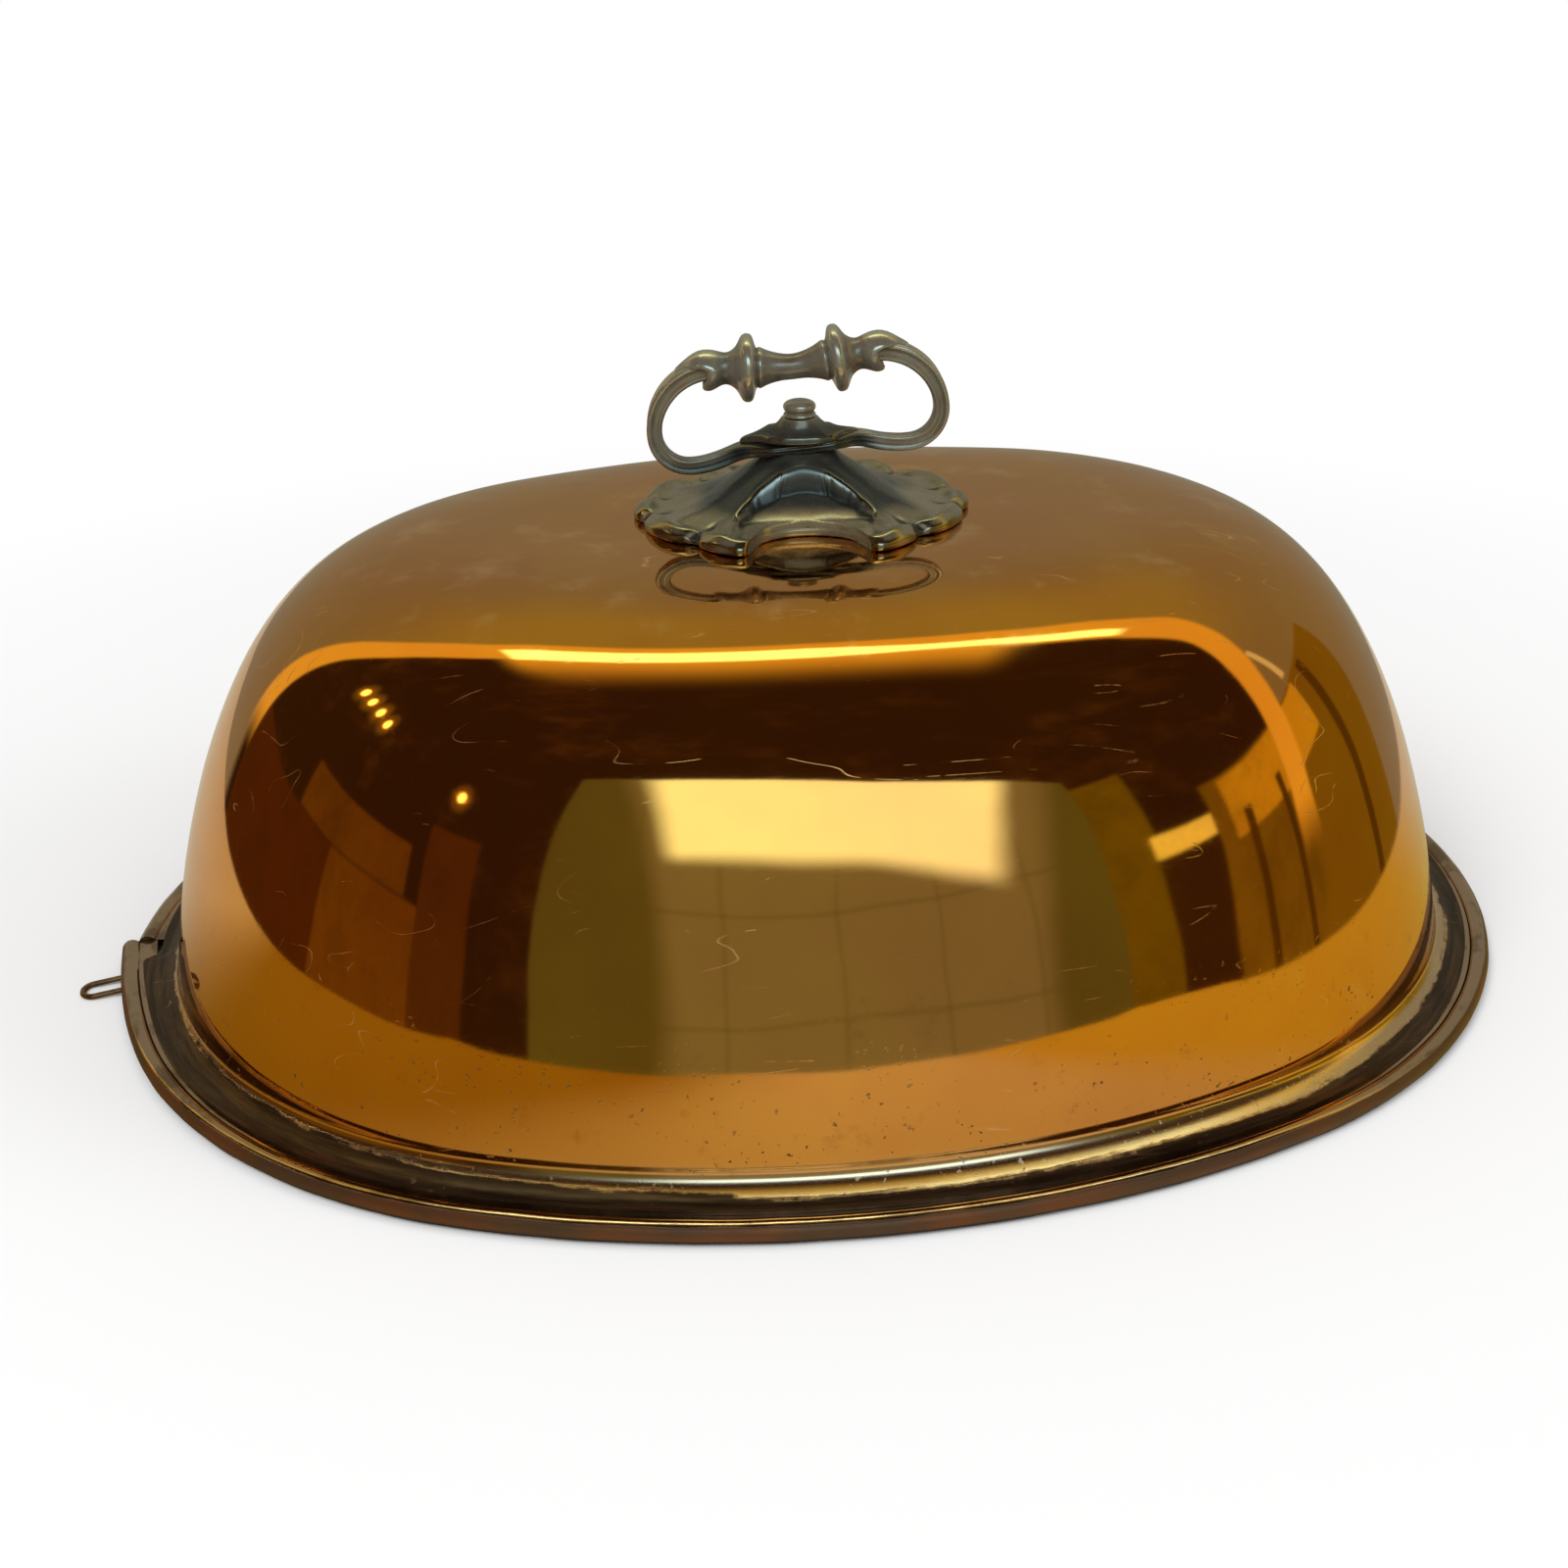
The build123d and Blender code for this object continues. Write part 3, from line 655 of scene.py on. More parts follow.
def makeRim():
    leftCentre = Vector((-endShift, 0))
    frontStop = angleAt(springCentre, joint["springRadius"], bead["frontEnd"])
    rearStop = angleAt(leftCentre, plan["endRadius"], bead["rearEnd"])
    start = math.radians(frontStop)
    points = []
    for inset, height in beadOutline():
        reach = joint["springRadius"] - inset
        points.append((springCentre.x + reach * math.cos(start), springCentre.y + reach * math.sin(start), height))
    piece = drawLine("rolledRim", points)
    leftCorner = 180 + endAngle
    runs = [
        (springAngle - frontStop, joint["springRadius"], springCentre),
        (leftCorner - springAngle, plan["endRadius"], leftCentre),
        (sideTurn, sideRadius, Vector((0, sideShift))),
        (2 * endAngle, plan["endRadius"], Vector((endShift, 0))),
        (sideTurn, sideRadius, Vector((0, -sideShift))),
        (rearStop - 180 + endAngle, plan["endRadius"], leftCentre),
    ]
    for turn, radius, centre in runs:
        spin(turn, round(math.radians(turn) * radius / bead["pitch"]), (centre.x, centre.y, 0))
    bpy.ops.mesh.edge_face_add()
    weld()
    # the sprung end is closed with a round nose
    reach = joint["springRadius"] - bead["radius"]
    end = Vector((springCentre.x + reach * math.cos(start), springCentre.y + reach * math.sin(start)))
    ahead = Vector((math.sin(start), -math.cos(start)))
    choose(piece, lambda p: abs((p.xy - end).dot(ahead)) < 0.05 and (p.xy - end).length < 11)
    for step in range(1, 5):
        near = math.radians(20 * step - 20)
        far = math.radians(20 * step)
        travel = ahead * bead["radius"] * (math.sin(far) - math.sin(near)) * mm
        scale = math.cos(far) / math.cos(near)
        bpy.ops.mesh.extrude_region_move(TRANSFORM_OT_translate={"value": (travel.x, travel.y, 0)})
        middle = Vector((end.x, end.y, bead["middle"])) * mm
        bpy.ops.transform.resize(value=(scale, scale, scale), center_override=middle)
    bpy.ops.mesh.edge_face_add()
    bpy.ops.mesh.select_all(action="SELECT")
    bpy.ops.mesh.normals_make_consistent(inside=False)
    closeMesh()
    cutSlots(piece)
    ripple(piece, "rimWaves", 17.0, bead["waveHeight"])
    for vertex in piece.data.vertices:
        side = plan["halfWidth"] * mm
        vertex.co.y = min(max(vertex.co.y, -side), side)
        vertex.co.z = max(vertex.co.z, 0)
    piece.data.materials.append(rimFinish())
    shade(piece, 40)
    tell = piece.data.attributes.new("crest", "FLOAT", "POINT")
    for vertex in piece.data.vertices:
        x, y, z = vertex.co / mm
        inset = rimInset(x, y)
        outward = (bead["radius"] - inset) / bead["radius"]
        upward = (z - bead["middle"]) / bead["radius"]
        tell.data[vertex.index].value = upward - 0.35 * outward
    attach(piece, "cover")
    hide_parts("rim_strip")
    print("rim made")
    return piece


def cutSlots(piece):
    # two slots let the ring's legs swing from level to straight down
    hinge = frame["joints"][0]
    along = Vector(hinge["axis"])
    out = Vector((-along.y, along.x, 0))
    middle = Vector(hinge["pos_m"]) / mm
    middle.z = bead["middle"]
    fan = [Vector((0, 0, 0))]
    for step in range(7):
        angle = math.radians(bead["slotLow"] + (bead["slotHigh"] - bead["slotLow"]) * step / 6)
        fan.append((out * math.cos(angle) + Vector((0, 0, math.sin(angle)))) * 2 * bead["radius"])
    width = along * 2 * bead["slotHalf"]
    for side in (-1, 1):
        corner = middle + along * (side * bead["legPlace"] - bead["slotHalf"])
        cutter = drawLine("slotCutter", [corner + point for point in fan + fan[:1]])
        bpy.ops.mesh.remove_doubles(threshold=0.01 * mm)
        bpy.ops.mesh.edge_face_add()
        bpy.ops.mesh.extrude_region_move(TRANSFORM_OT_translate={"value": width * mm})
        bpy.ops.mesh.select_all(action="SELECT")
        bpy.ops.mesh.normals_make_consistent(inside=False)
        closeMesh()
        modify(piece, "BOOLEAN", operation="DIFFERENCE", object=cutter, solver="EXACT")
        bpy.data.objects.remove(cutter)


# Castings of the handle, modelled about its middle and then set on the crown

def castingPlace(height, leaning):
    turn = Matrix.Rotation(math.radians(handlePlace["turn"]), 4, "Z")
    lean = Matrix.Rotation(math.radians(handlePlace["lean"]), 4, "Y") if leaning else Matrix()
    return turn @ Matrix.Translation((0, 0, height * mm)) @ lean


def setCasting(piece, height, leaning, node):
    select(piece)
    piece.matrix_world = castingPlace(height, leaning)
    bpy.ops.object.transform_apply(location=True, rotation=True, scale=True)
    if not piece.data.materials:
        piece.data.materials.append(pewterLook)
    markWear(piece)
    shade(piece, 60)
    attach(piece, "cover")
    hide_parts(node)
    print(piece.name, "made")


def markWear(piece):
    # edges and knobs are rubbed bright, hollows stay dark: how far each vertex stands proud
    mesh = piece.data
    total = [Vector() for vertex in mesh.vertices]
    count = [0] * len(mesh.vertices)
    for edge in mesh.edges:
        a, b = edge.vertices
        total[a] += mesh.vertices[b].co
        total[b] += mesh.vertices[a].co
        count[a] += 1
        count[b] += 1
    reach = []
    for vertex in mesh.vertices:
        gap = vertex.co - total[vertex.index] / max(count[vertex.index], 1)
        reach.append(gap.dot(vertex.normal) / mm)
    for sweep in range(3):
        near = [0.0] * len(reach)
        for edge in mesh.edges:
            a, b = edge.vertices
            near[a] += reach[b]
            near[b] += reach[a]
        reach = [(value + total / max(n, 1)) / 2 for value, total, n in zip(reach, near, count)]
    tell = mesh.attributes.new("wear", "FLOAT", "POINT")
    for place, value in enumerate(reach):
        tell.data[place].value = min(max(0.5 + value * 9, 0), 1)


def ringSheet(name, rows, columns, place):
    # a flat disc of rings and spokes, each vertex then moved to its place on the casting
    piece = drawLine(name, [(row + 1, 0, 0) for row in range(rows)])
    spin(360, columns)
    weld()
    closeMesh()
    for vertex in piece.data.vertices:
        x, y = vertex.co.x / mm, vertex.co.y / mm
        row = round(math.hypot(x, y)) - 1
        turn = math.degrees(math.atan2(y, x)) % 360
        vertex.co = Vector(place(row, turn)) * mm
    return piece


base = {
    "columns": 176,
    "rows": 36,
    "neckRadius": 12.2,
    "holeRadius": 3.3,
    "nicheHalf": 25.0,  # arched recess in the front and in the back
    "nicheMiddle": 34.0,
    "nicheDepth": 16.6,
    "ribThick": 3.3,
    "ribHeight": 0.9,
    "ribFace": 6.0,
    "shelfHeight": 4.5,
    "shelfStart": 27.5,
}

# Quarter of the scalloped outline, from the end tongue to the middle of the front bay
baseOutline = [
    (58.8, 0), (58.3, 3.4), (56.6, 6.6), (54.2, 9.3), (55.0, 12.6), (53.9, 19), (50.8, 25),
    (46.6, 30.2), (41.8, 33.2), (37.4, 34.2), (36.4, 38.2), (33.4, 42.6), (29, 46.6), (25.2, 49),
    (22.2, 49.8), (20.6, 47.8), (19.6, 43.2), (16.8, 37.8), (12.8, 33.4), (8.0, 30.8), (3.6, 29.7), (0, 29.5),
]

# Height of the casting's flare at a distance from its middle
baseFlare = [
    (12.2, 22.6), (13, 21.2), (14, 20.3), (15.7, 18.9), (19.5, 16.4), (23.6, 13.7), (27, 11.4), (31, 9.2), (36, 7.0),
    (41.3, 5.5), (46, 4.7), (50, 4.4), (56, 4.5), (62, 4.5),
]

# Small swellings and creases: place, reach along its spoke and across it, and height
baseRelief = [
    (27.5, 40.5, 7.0, 4.2, 1.2), (46.5, 23.0, 5.0, 7.0, 0.7), (55.5, 0.0, 2.6, 4.0, 0.9),
    (38.5, 35.0, 11.0, 1.7, -2.2), (55.0, 9.8, 9.0, 1.5, -1.8), (43.0, 0.0, 12.0, 5.0, -1.0),
    (37.0, 17.0, 12.0, 4.5, 0.6), (36.0, 26.0, 6.0, 5.0, -0.5),
]


def folded(turn):
    # how far a turn lies round its quarter, 0 to 1, with the signs of its two directions
    across = 1 if turn < 90 or turn > 270 else -1
    along = 1 if turn < 180 else -1
    share = abs((turn % 180) - 90) / 90
    return 1 - share, across, along


def bump(x, y, mark):
    reach = math.hypot(mark[0], mark[1])
    ahead = (x * mark[0] + y * mark[1]) / reach - reach
    aside = (y * mark[0] - x * mark[1]) / reach
    return mark[4] * math.exp(-(ahead / mark[2]) ** 2 - (aside / mark[3]) ** 2)


def baseHeight(x, y, gap, flare):
    radius = math.hypot(x, y)
    height = between(radius, flare)
    for mark in baseRelief:
        height += bump(x, y, mark)
    if x < base["nicheHalf"]:
        share = 1 - (x / base["nicheHalf"]) ** 2
        wall = base["nicheMiddle"] - base["nicheDepth"] * math.sqrt(share)
        crest = wall - base["ribThick"]
        swell = base["ribHeight"] * math.sqrt(share)
        crestHeight = between(math.hypot(x, crest), flare) + swell
        face = crestHeight - base["ribFace"] * share
        foot = max(face - 2.6 * share, base["shelfHeight"] + 0.5)
        if y < crest:
            height += swell * math.exp(-((y - crest) / 1.6) ** 2)
        elif y < wall:
            over = (y - crest) / (wall - crest)
            height = face + (crestHeight - face) * math.sqrt(max(1 - over ** 2, 0))
        else:
            along = min((y - wall) / max(base["shelfStart"] - wall, 0.5), 1)
            niche = base["shelfHeight"] + (foot - base["shelfHeight"]) * (1 - along) ** 1.3
            open = eased(share, 0.0, 0.25)
            height = height + (niche - height) * open
        lip = eased(share, 0.1, 0.5)
    else:
        lip = 0.0
    roll = 0.8 * math.exp(-((gap - 3.6) / 1.5) ** 2) - 0.5 * math.exp(-((gap - 8) / 3.0) ** 2)
    height += roll * (1 - lip)
    return height - (1.7 + 0.4 * lip) * (1 - eased(gap, 0, 2.2 + 0.6 * lip))


def makeBase():
    quarter = base["columns"] // 4
    outline = curveThrough([Vector((x, y, 0)) for x, y in baseOutline], quarter)
    flare = [(point.x, point.y) for point in curveThrough([Vector((x, z, 0)) for x, z in baseFlare], 120)]
    neck = [(base["holeRadius"], 1.0), (base["holeRadius"], 23.6), (10.9, 23.6), (11.6, 23.4), (11.9, 22.9)]
    under = [(1.003, 1.7), (1.003, 0.6), (0.994, 0.0), (0.95, 0.0), (0.6, 0.0), (0.3, 0.0)]
    last = base["rows"] - 1
    rows = len(neck) + base["rows"] + len(under)

    def place(row, turn):
        share, across, along = folded(turn)
        edge = outline[round(share * quarter)]
        angle = math.atan2(edge.y, edge.x) * 0.55 + share * math.pi / 2 * 0.45
        away = Vector((math.cos(angle), math.sin(angle), 0))
        start = away * base["neckRadius"]
        row -= len(neck)
        if row < 0:
            radius, height = neck[row]
            flat = away * radius
        elif row <= last:
            out = (row / last) ** 0.9
            flat = start.lerp(edge, out)
            gap = (edge - start).length * (1 - out)
            height = baseHeight(flat.x, flat.y, gap, flare)
        else:
            out, height = under[row - last - 1]
            flat = start.lerp(edge, out)
            if row - last == len(under):
                flat = away * base["holeRadius"]
        return flat.x * across, flat.y * along, height

    piece = ringSheet("handleBase", rows, base["columns"], place)
    openMesh(piece)
    bpy.ops.mesh.select_all(action="DESELECT")
    bpy.ops.mesh.select_non_manifold(extend=False)
    bpy.ops.mesh.bridge_edge_loops()
    bpy.ops.mesh.select_all(action="SELECT")
    bpy.ops.mesh.normals_make_consistent(inside=False)
    closeMesh()
    smoothen(piece, 1)
    ripple(piece, "castWaves", 9.0, 0.3)
    setCasting(piece, dome["crownHeight"] + 0.1, False, "handle_base")


arm = {
    "reach": 49.7,
    "footRadius": 11.7,
    "topRadius": 21.0,
    "sweepRadius": 40.0,
    "returnRadius": 22.0,
    "sweepTurn": 20.5,
    "bendHeight": 7.4,
    "endTurn": 95.0,
    "eyeMiddle": 185.22,
    "pitch": 2.6,
    "rootWidth": 3.0,  # how much wider the strap is under the leaf
    "rootThick": 0.58,
    "swell": 0.36,  # how much stouter the arms are where the hoods take them
}

# Half of an arm's section: depth to the front and thickness outward, with three reeds on its face
armSection = [
    (0, -2.75), (1.5, -2.75), (2.5, -2.6), (3.1, -2.1), (3.2, -1.5), (2.98, -1.05), (3.15, -0.55), (3.2, 0.05),
    (2.95, 0.5), (3.2, 1.0), (3.55, 1.7), (3.4, 2.45), (2.6, 2.85), (1.7, 2.5), (0.8, 1.9), (0, 1.75),
]


def armStations():
    # places and headings along the right arm, from the middle of the strap to its end in the grip
    low = arm["bendHeight"] - arm["footRadius"]
    turn = math.radians(arm["sweepTurn"])
    footX = arm["reach"] - arm["footRadius"]
    sweepX = footX - arm["sweepRadius"] * math.sin(turn)
    sweepZ = low + arm["sweepRadius"] * (1 - math.cos(turn))
    rootX = sweepX - arm["returnRadius"] * math.sin(turn)
    rootZ = sweepZ + arm["returnRadius"] * (1 - math.cos(turn))
    runs = [
        (rootX, None, 0),
        (arm["returnRadius"] * turn, arm["returnRadius"], -arm["sweepTurn"]),
        (arm["sweepRadius"] * turn, arm["sweepRadius"], arm["sweepTurn"]),
        (arm["footRadius"] * math.pi / 2, arm["footRadius"], 90),
        (arm["topRadius"] * math.radians(arm["endTurn"]), arm["topRadius"], arm["endTurn"]),
        (3.0, None, 0),
    ]
    stations = [(0.0, rootZ, 0.0)]
    for length, radius, degrees in runs:
        steps = max(round(length / arm["pitch"]), 1)
        for step in range(steps):
            x, z, heading = stations[-1]
            stride = length / steps
            bend = math.radians(degrees) / steps
            if radius:
                stride = 2 * radius * math.sin(abs(bend) / 2)
            way = heading + bend / 2
            stations.append((x + stride * math.cos(way), z + stride * math.sin(way), heading + bend))
    return stations


def makeArms():
    stations = armStations()
    outline = armSection + [(-depth, thick) for depth, thick in reversed(armSection[1:-1])]
    first = stations[0]
    loop = [(first[0], -depth, first[1] - thick) for depth, thick in outline]
    piece = drawLine("handleArms", loop + loop[:1])
    bpy.ops.mesh.remove_doubles(threshold=0.01 * mm)
    middle = Vector((first[0], 0, first[1])) * mm
    bpy.ops.transform.resize(value=(1, arm["rootWidth"], arm["rootThick"]), center_override=middle)
    wide, thick = arm["rootWidth"], arm["rootThick"]
    for near, far in zip(stations, stations[1:]):
        step = Vector((far[0] - near[0], 0, far[1] - near[1])) * mm
        middle = Vector((far[0], 0, far[1])) * mm
        bpy.ops.mesh.extrude_region_move(TRANSFORM_OT_translate={"value": step})
        bpy.ops.transform.rotate(value=far[2] - near[2], orient_axis="Y", center_override=middle)
        share = eased(far[0], 9, 24) if far[1] < 0.5 and far[0] < 30 else 1
        stout = 1 + arm["swell"] * eased(far[1], 10, 27)
        newWide = (arm["rootWidth"] + (1 - arm["rootWidth"]) * share) * stout
        newThick = (arm["rootThick"] + (1 - arm["rootThick"]) * share) * stout
        # a section that stands up grows along its own thickness, not along the height
        lying = math.cos(far[2]) ** 2
        along = 1 + (newThick / thick - 1) * (1 - lying)
        change = (along, newWide / wide, 1 + (newThick / thick - 1) * lying)
        bpy.ops.transform.resize(value=change, center_override=middle)
        wide, thick = newWide, newThick
    bpy.ops.mesh.edge_face_add()
    bpy.ops.mesh.select_all(action="SELECT")
    bpy.ops.mesh.normals_make_consistent(inside=False)
    closeMesh()
    modify(piece, "MIRROR", use_axis=(True, False, False), merge_threshold=0.02 * mm)
    openMesh(piece)
    weld(0.02)
    closeMesh()
    smoothen(piece, 1)
    ripple(piece, "armWaves", 7.0, 0.18)
    setCasting(piece, arm["eyeMiddle"], True, "handle_frame")


# Right half of the grip: distance from its waist, and radius
gripOutline = [
    (0, 4.3), (3.0, 4.4), (6.0, 4.95), (8.6, 5.75), (10.2, 6.5), (11.0, 6.95), (11.6, 6.95), (12.0, 6.55),
    (12.4, 6.8), (12.8, 7.8), (13.2, 9.2), (13.6, 10.4), (14.1, 11.15), (14.9, 11.5), (16.1, 11.5),
    (17.0, 11.1), (17.6, 10.3), (18.2, 9.2), (18.8, 8.0), (19.6, 6.9), (20.7, 6.05), (21.8, 5.5), (23.0, 5.3),
    (24.4, 5.6), (25.8, 6.4), (27.2, 7.05), (28.6, 7.3), (30.0, 7.25), (31.2, 7.0), (31.8, 6.6), (32.0, 5.9),
    (31.6, 5.3), (30.4, 4.9), (28.6, 4.6), (26.6, 4.4), (25.2, 4.0), (24.8, 0),
]

grip = {
    "height": 26.0,  # waist over the eye plate's middle
    "rise": 5.0,  # degrees that each half rises from the waist
    "steps": 48,
    "hoodStart": 24.6,
    "bendStart": 27.0,  # from here the hood bends down with the arm inside it
    "lipPlace": 32.0,
    "sideLip": 29.4,
    "topReach": 9.6,
    "footReach": 3.0,
    "tipClose": 0.38,
    "footClose": 0.05,
}


def makeGrip():
    piece = drawLine("handleGrip", [(x, 0, radius) for x, radius in gripOutline])
    spin(360, grip["steps"], axis=(1, 0, 0))
    weld()
    closeMesh()
    # the hoods at the ends: the lip reaches out over and under the arm, and draws back at the sides
    radius = arm["topRadius"]
    for vertex in piece.data.vertices:
        x, y, z = vertex.co / mm
        around = math.hypot(y, z)
        if x > grip["hoodStart"] and around > 0.5:
            over = z / around
            lip = grip["sideLip"] + grip["topReach"] * eased(over, 0.05, 0.8)
            lip += grip["footReach"] * eased(-over, 0.25, 0.95)
            share = (lip - grip["hoodStart"]) / (grip["lipPlace"] - grip["hoodStart"])
            x = grip["hoodStart"] + (x - grip["hoodStart"]) * share
            close = 1 - grip["tipClose"] * eased(x, 29, 38) * eased(over, 0, 0.6)
            close -= grip["footClose"] * eased(x, 30, 34) * eased(-over, 0, 0.6)
            y, z = y * close, z * close
        if x > grip["bendStart"]:
            angle = (x - grip["bendStart"]) / radius
            x = grip["bendStart"] + (radius + z) * math.sin(angle)
            z = (radius + z) * math.cos(angle) - radius
        vertex.co = Vector((x, y, z)) * mm
    openMesh(piece)
    bpy.ops.mesh.select_all(action="SELECT")
    bpy.ops.transform.rotate(value=math.radians(grip["rise"]), orient_axis="Y", center_override=(0, 0, 0))
    closeMesh()
    for vertex in piece.data.vertices:
        if vertex.co.x < 0.9 * mm:
            vertex.co.x = 0
    modify(piece, "MIRROR", use_axis=(True, False, False), merge_threshold=0.05 * mm)
    openMesh(piece)
    weld()
    closeMesh()
    smoothen(piece, 1)
    for vertex in piece.data.vertices:
        vertex.co.z += grip["height"] * mm
    ripple(piece, "gripWaves", 8.0, 0.2)
    setCasting(piece, arm["eyeMiddle"], True, "handle_grip")


leaf = {
    "columns": 96,
    "foot": 186.82,  # top of the eye plate
    "holeRadius": 3.2,
    "droop": 1.7,  # its left point follows the arm that was pressed down
}

leafOutline = [
    (21.2, 0), (20.4, 1.0), (17.6, 2.2), (14.8, 4.2), (12.6, 7.0), (11.2, 9.4), (9.6, 10.0), (6.2, 11.4), (0, 12.2),
]

# Heights of the leaf's top from its boss to its edge, along the ridge and across it
leafShares = (0, 0.07, 0.18, 0.38, 0.60, 0.74, 0.83, 0.93, 1)
leafRidge = (6.9, 5.7, 4.6, 3.6, 3.0, 2.7, 2.6, 2.5, 1.4)
leafSide = (6.9, 5.7, 4.4, 2.9, 1.8, 1.5, 2.3, 2.7, 1.3)


def makeLeaf():
    quarter = leaf["columns"] // 4
    outline = curveThrough([Vector((x, y, 0)) for x, y in leafOutline], quarter)
    rows = 26

    def place(row, turn):
        share, across, along = folded(turn)
        edge = outline[round(share * quarter)]
        angle = math.atan2(edge.y, edge.x) * 0.5 + share * math.pi / 4
        boss = Vector((math.cos(angle), math.sin(angle), 0))
        if row < 4:
            radius, height = ((leaf["holeRadius"], 0.0), (leaf["holeRadius"], 7.1), (5.9, 7.1), (6.3, 7.0))[row]
            flat = boss * radius
        elif row < 22:
            out = ((row - 4) / 17) ** 1.1
            ridge = between(out, list(zip(leafShares, leafRidge)))
            side = between(out, list(zip(leafShares, leafSide)))
            height = ridge + (side - ridge) * eased(share, 0.0, 0.75)
            flat = (boss * 6.4).lerp(edge, out)
        else:
            out, height = ((1.0, 0.4), (0.985, 0.0), (0.6, 0.0), (0.3, 0.0))[row - 22]
            flat = (boss * 6.4).lerp(edge, out)
            if row == rows - 1:
                flat = boss * leaf["holeRadius"]
        x = flat.x * across
        return x, flat.y * along, height - leaf["droop"] * eased(-x, 10, 21)

    piece = ringSheet("capLeaf", rows, leaf["columns"], place)
    openMesh(piece)
    bpy.ops.mesh.select_all(action="SELECT")
    bpy.ops.mesh.remove_doubles(threshold=0.01 * mm)
    bpy.ops.mesh.normals_make_consistent(inside=False)
    closeMesh()
    smoothen(piece, 1)
    ripple(piece, "leafWaves", 6.0, 0.2)
    setCasting(piece, leaf["foot"], False, "cap_leaf")


# The button nut: height over the leaf and radius
buttonOutline = [
    (3.8, 3.05), (0.0, 3.05), (0.0, 5.3), (0.5, 5.75), (1.2, 5.6), (1.7, 4.9), (2.1, 4.95), (2.6, 5.5),
    (3.4, 5.75), (4.3, 5.6), (5.1, 4.85), (5.7, 3.4), (6.0, 1.7), (6.08, 0.01),
]


def makeButton():
    piece = drawLine("buttonNut", [(radius, 0, height) for height, radius in buttonOutline])
    spin(360, 40)
    weld(0.03)
    choose(piece, lambda p: abs(p.z - 3.8) < 0.01 and p.xy.length < 3.2)
    bpy.ops.mesh.edge_face_add()
    bpy.ops.mesh.select_all(action="SELECT")
    bpy.ops.mesh.normals_make_consistent(inside=False)
    closeMesh()
    smoothen(piece, 1)
    setCasting(piece, leaf["foot"] + 7.1, False, "finial_nut")


def dressFrame():
    # the small turned and bent parts keep the frame's shapes and get their finishes
    finishes = {
        "rim_wire": plainMetal("ironWire", (0.14, 0.12, 0.11), (0.20, 0.09, 0.04), 0.5),
        "hanging_ring": plainMetal("ringWire", (0.34, 0.19, 0.10), (0.14, 0.085, 0.06), 0.3),
        "through_stud": plainMetal("studIron", (0.16, 0.15, 0.14), (0.20, 0.11, 0.06), 0.45),
        "inner_washer": plainMetal("tinnedPlate", (0.52, 0.51, 0.48), (0.34, 0.33, 0.31), 0.3),
        "inner_nut": plainMetal("dullBrass", (0.55, 0.40, 0.17), (0.32, 0.21, 0.08), 0.35),
    }
    for name, material in finishes.items():
        piece = frame["nodes"][name]
        piece.data.materials.clear()
        piece.data.materials.append(material)
    print("frame parts dressed")


studio = {
    "floorTint": (0.86, 0.86, 0.86),
    "worldTint": (1.0, 1.0, 1.0),
    "worldStrength": 0.8,
    "tentRadius": 4.0,
}

# What the polished metal mirrors, as light
room = {
    "far": (0.27, 0.26, 0.20),
    "farHigh": (0.36, 0.34, 0.14),
    "dark": (0.037, 0.019, 0.009),
    "smoke": (0.110, 0.060, 0.022),
    "gold": (0.92, 0.66, 0.13),
    "line": (3.0, 4.0, 3.0),
    "wall": (0.13, 0.145, 0.055),
    "wallPale": (0.25, 0.28, 0.24),
    "wallBright": (1.5, 2.2, 2.8),
    "lamp": (9.0, 6.5, 2.5),
    "table": (0.56, 0.52, 0.40),
    "tableLeft": (0.28, 0.19, 0.02),
    "tableRight": (0.54, 0.44, 0.07),
}

# Its panels: degrees from straight ahead to their left and right edges, their low and high edges, and tint
roomPanels = [
    (-128, -87, -0.25, 0.17, (0.086, 0.031, 0.006)), (-86, -59, -0.25, 0.17, (0.166, 0.080, 0.009)),
    (-100, -64, 0.19, 0.32, (0.150, 0.075, 0.010)), (-59, -47, -0.25, 0.42, (0.095, 0.042, 0.010)),
    (38.5, 46.5, -0.25, 0.50, (0.180, 0.150, 0.006)), (46.5, 56, -0.25, 0.235, (0.055, 0.028, 0.012)),
    (46.5, 55, 0.235, 0.280, (1.2, 1.25, 0.45)), (56, 114, -0.25, 0.36, (0.230, 0.165, 0.012)),
    (59, 95, 0.19, 0.35, (0.66, 0.47, 0.035)), (61.5, 62.5, -0.25, 0.24, (0.10, 0.06, 0.005)),
    (73, 74, -0.25, 0.24, (0.10, 0.06, 0.005)), (101, 103, -0.25, 0.34, (0.10, 0.06, 0.005)),
    (94.8, 96.0, 0.40, 0.56, (0.8, 0.9, 0.8)),
]

roomLamps = [(-109, 0.600), (-104, 0.608), (-98.5, 0.614), (-93, 0.610), (-55, 0.550)]


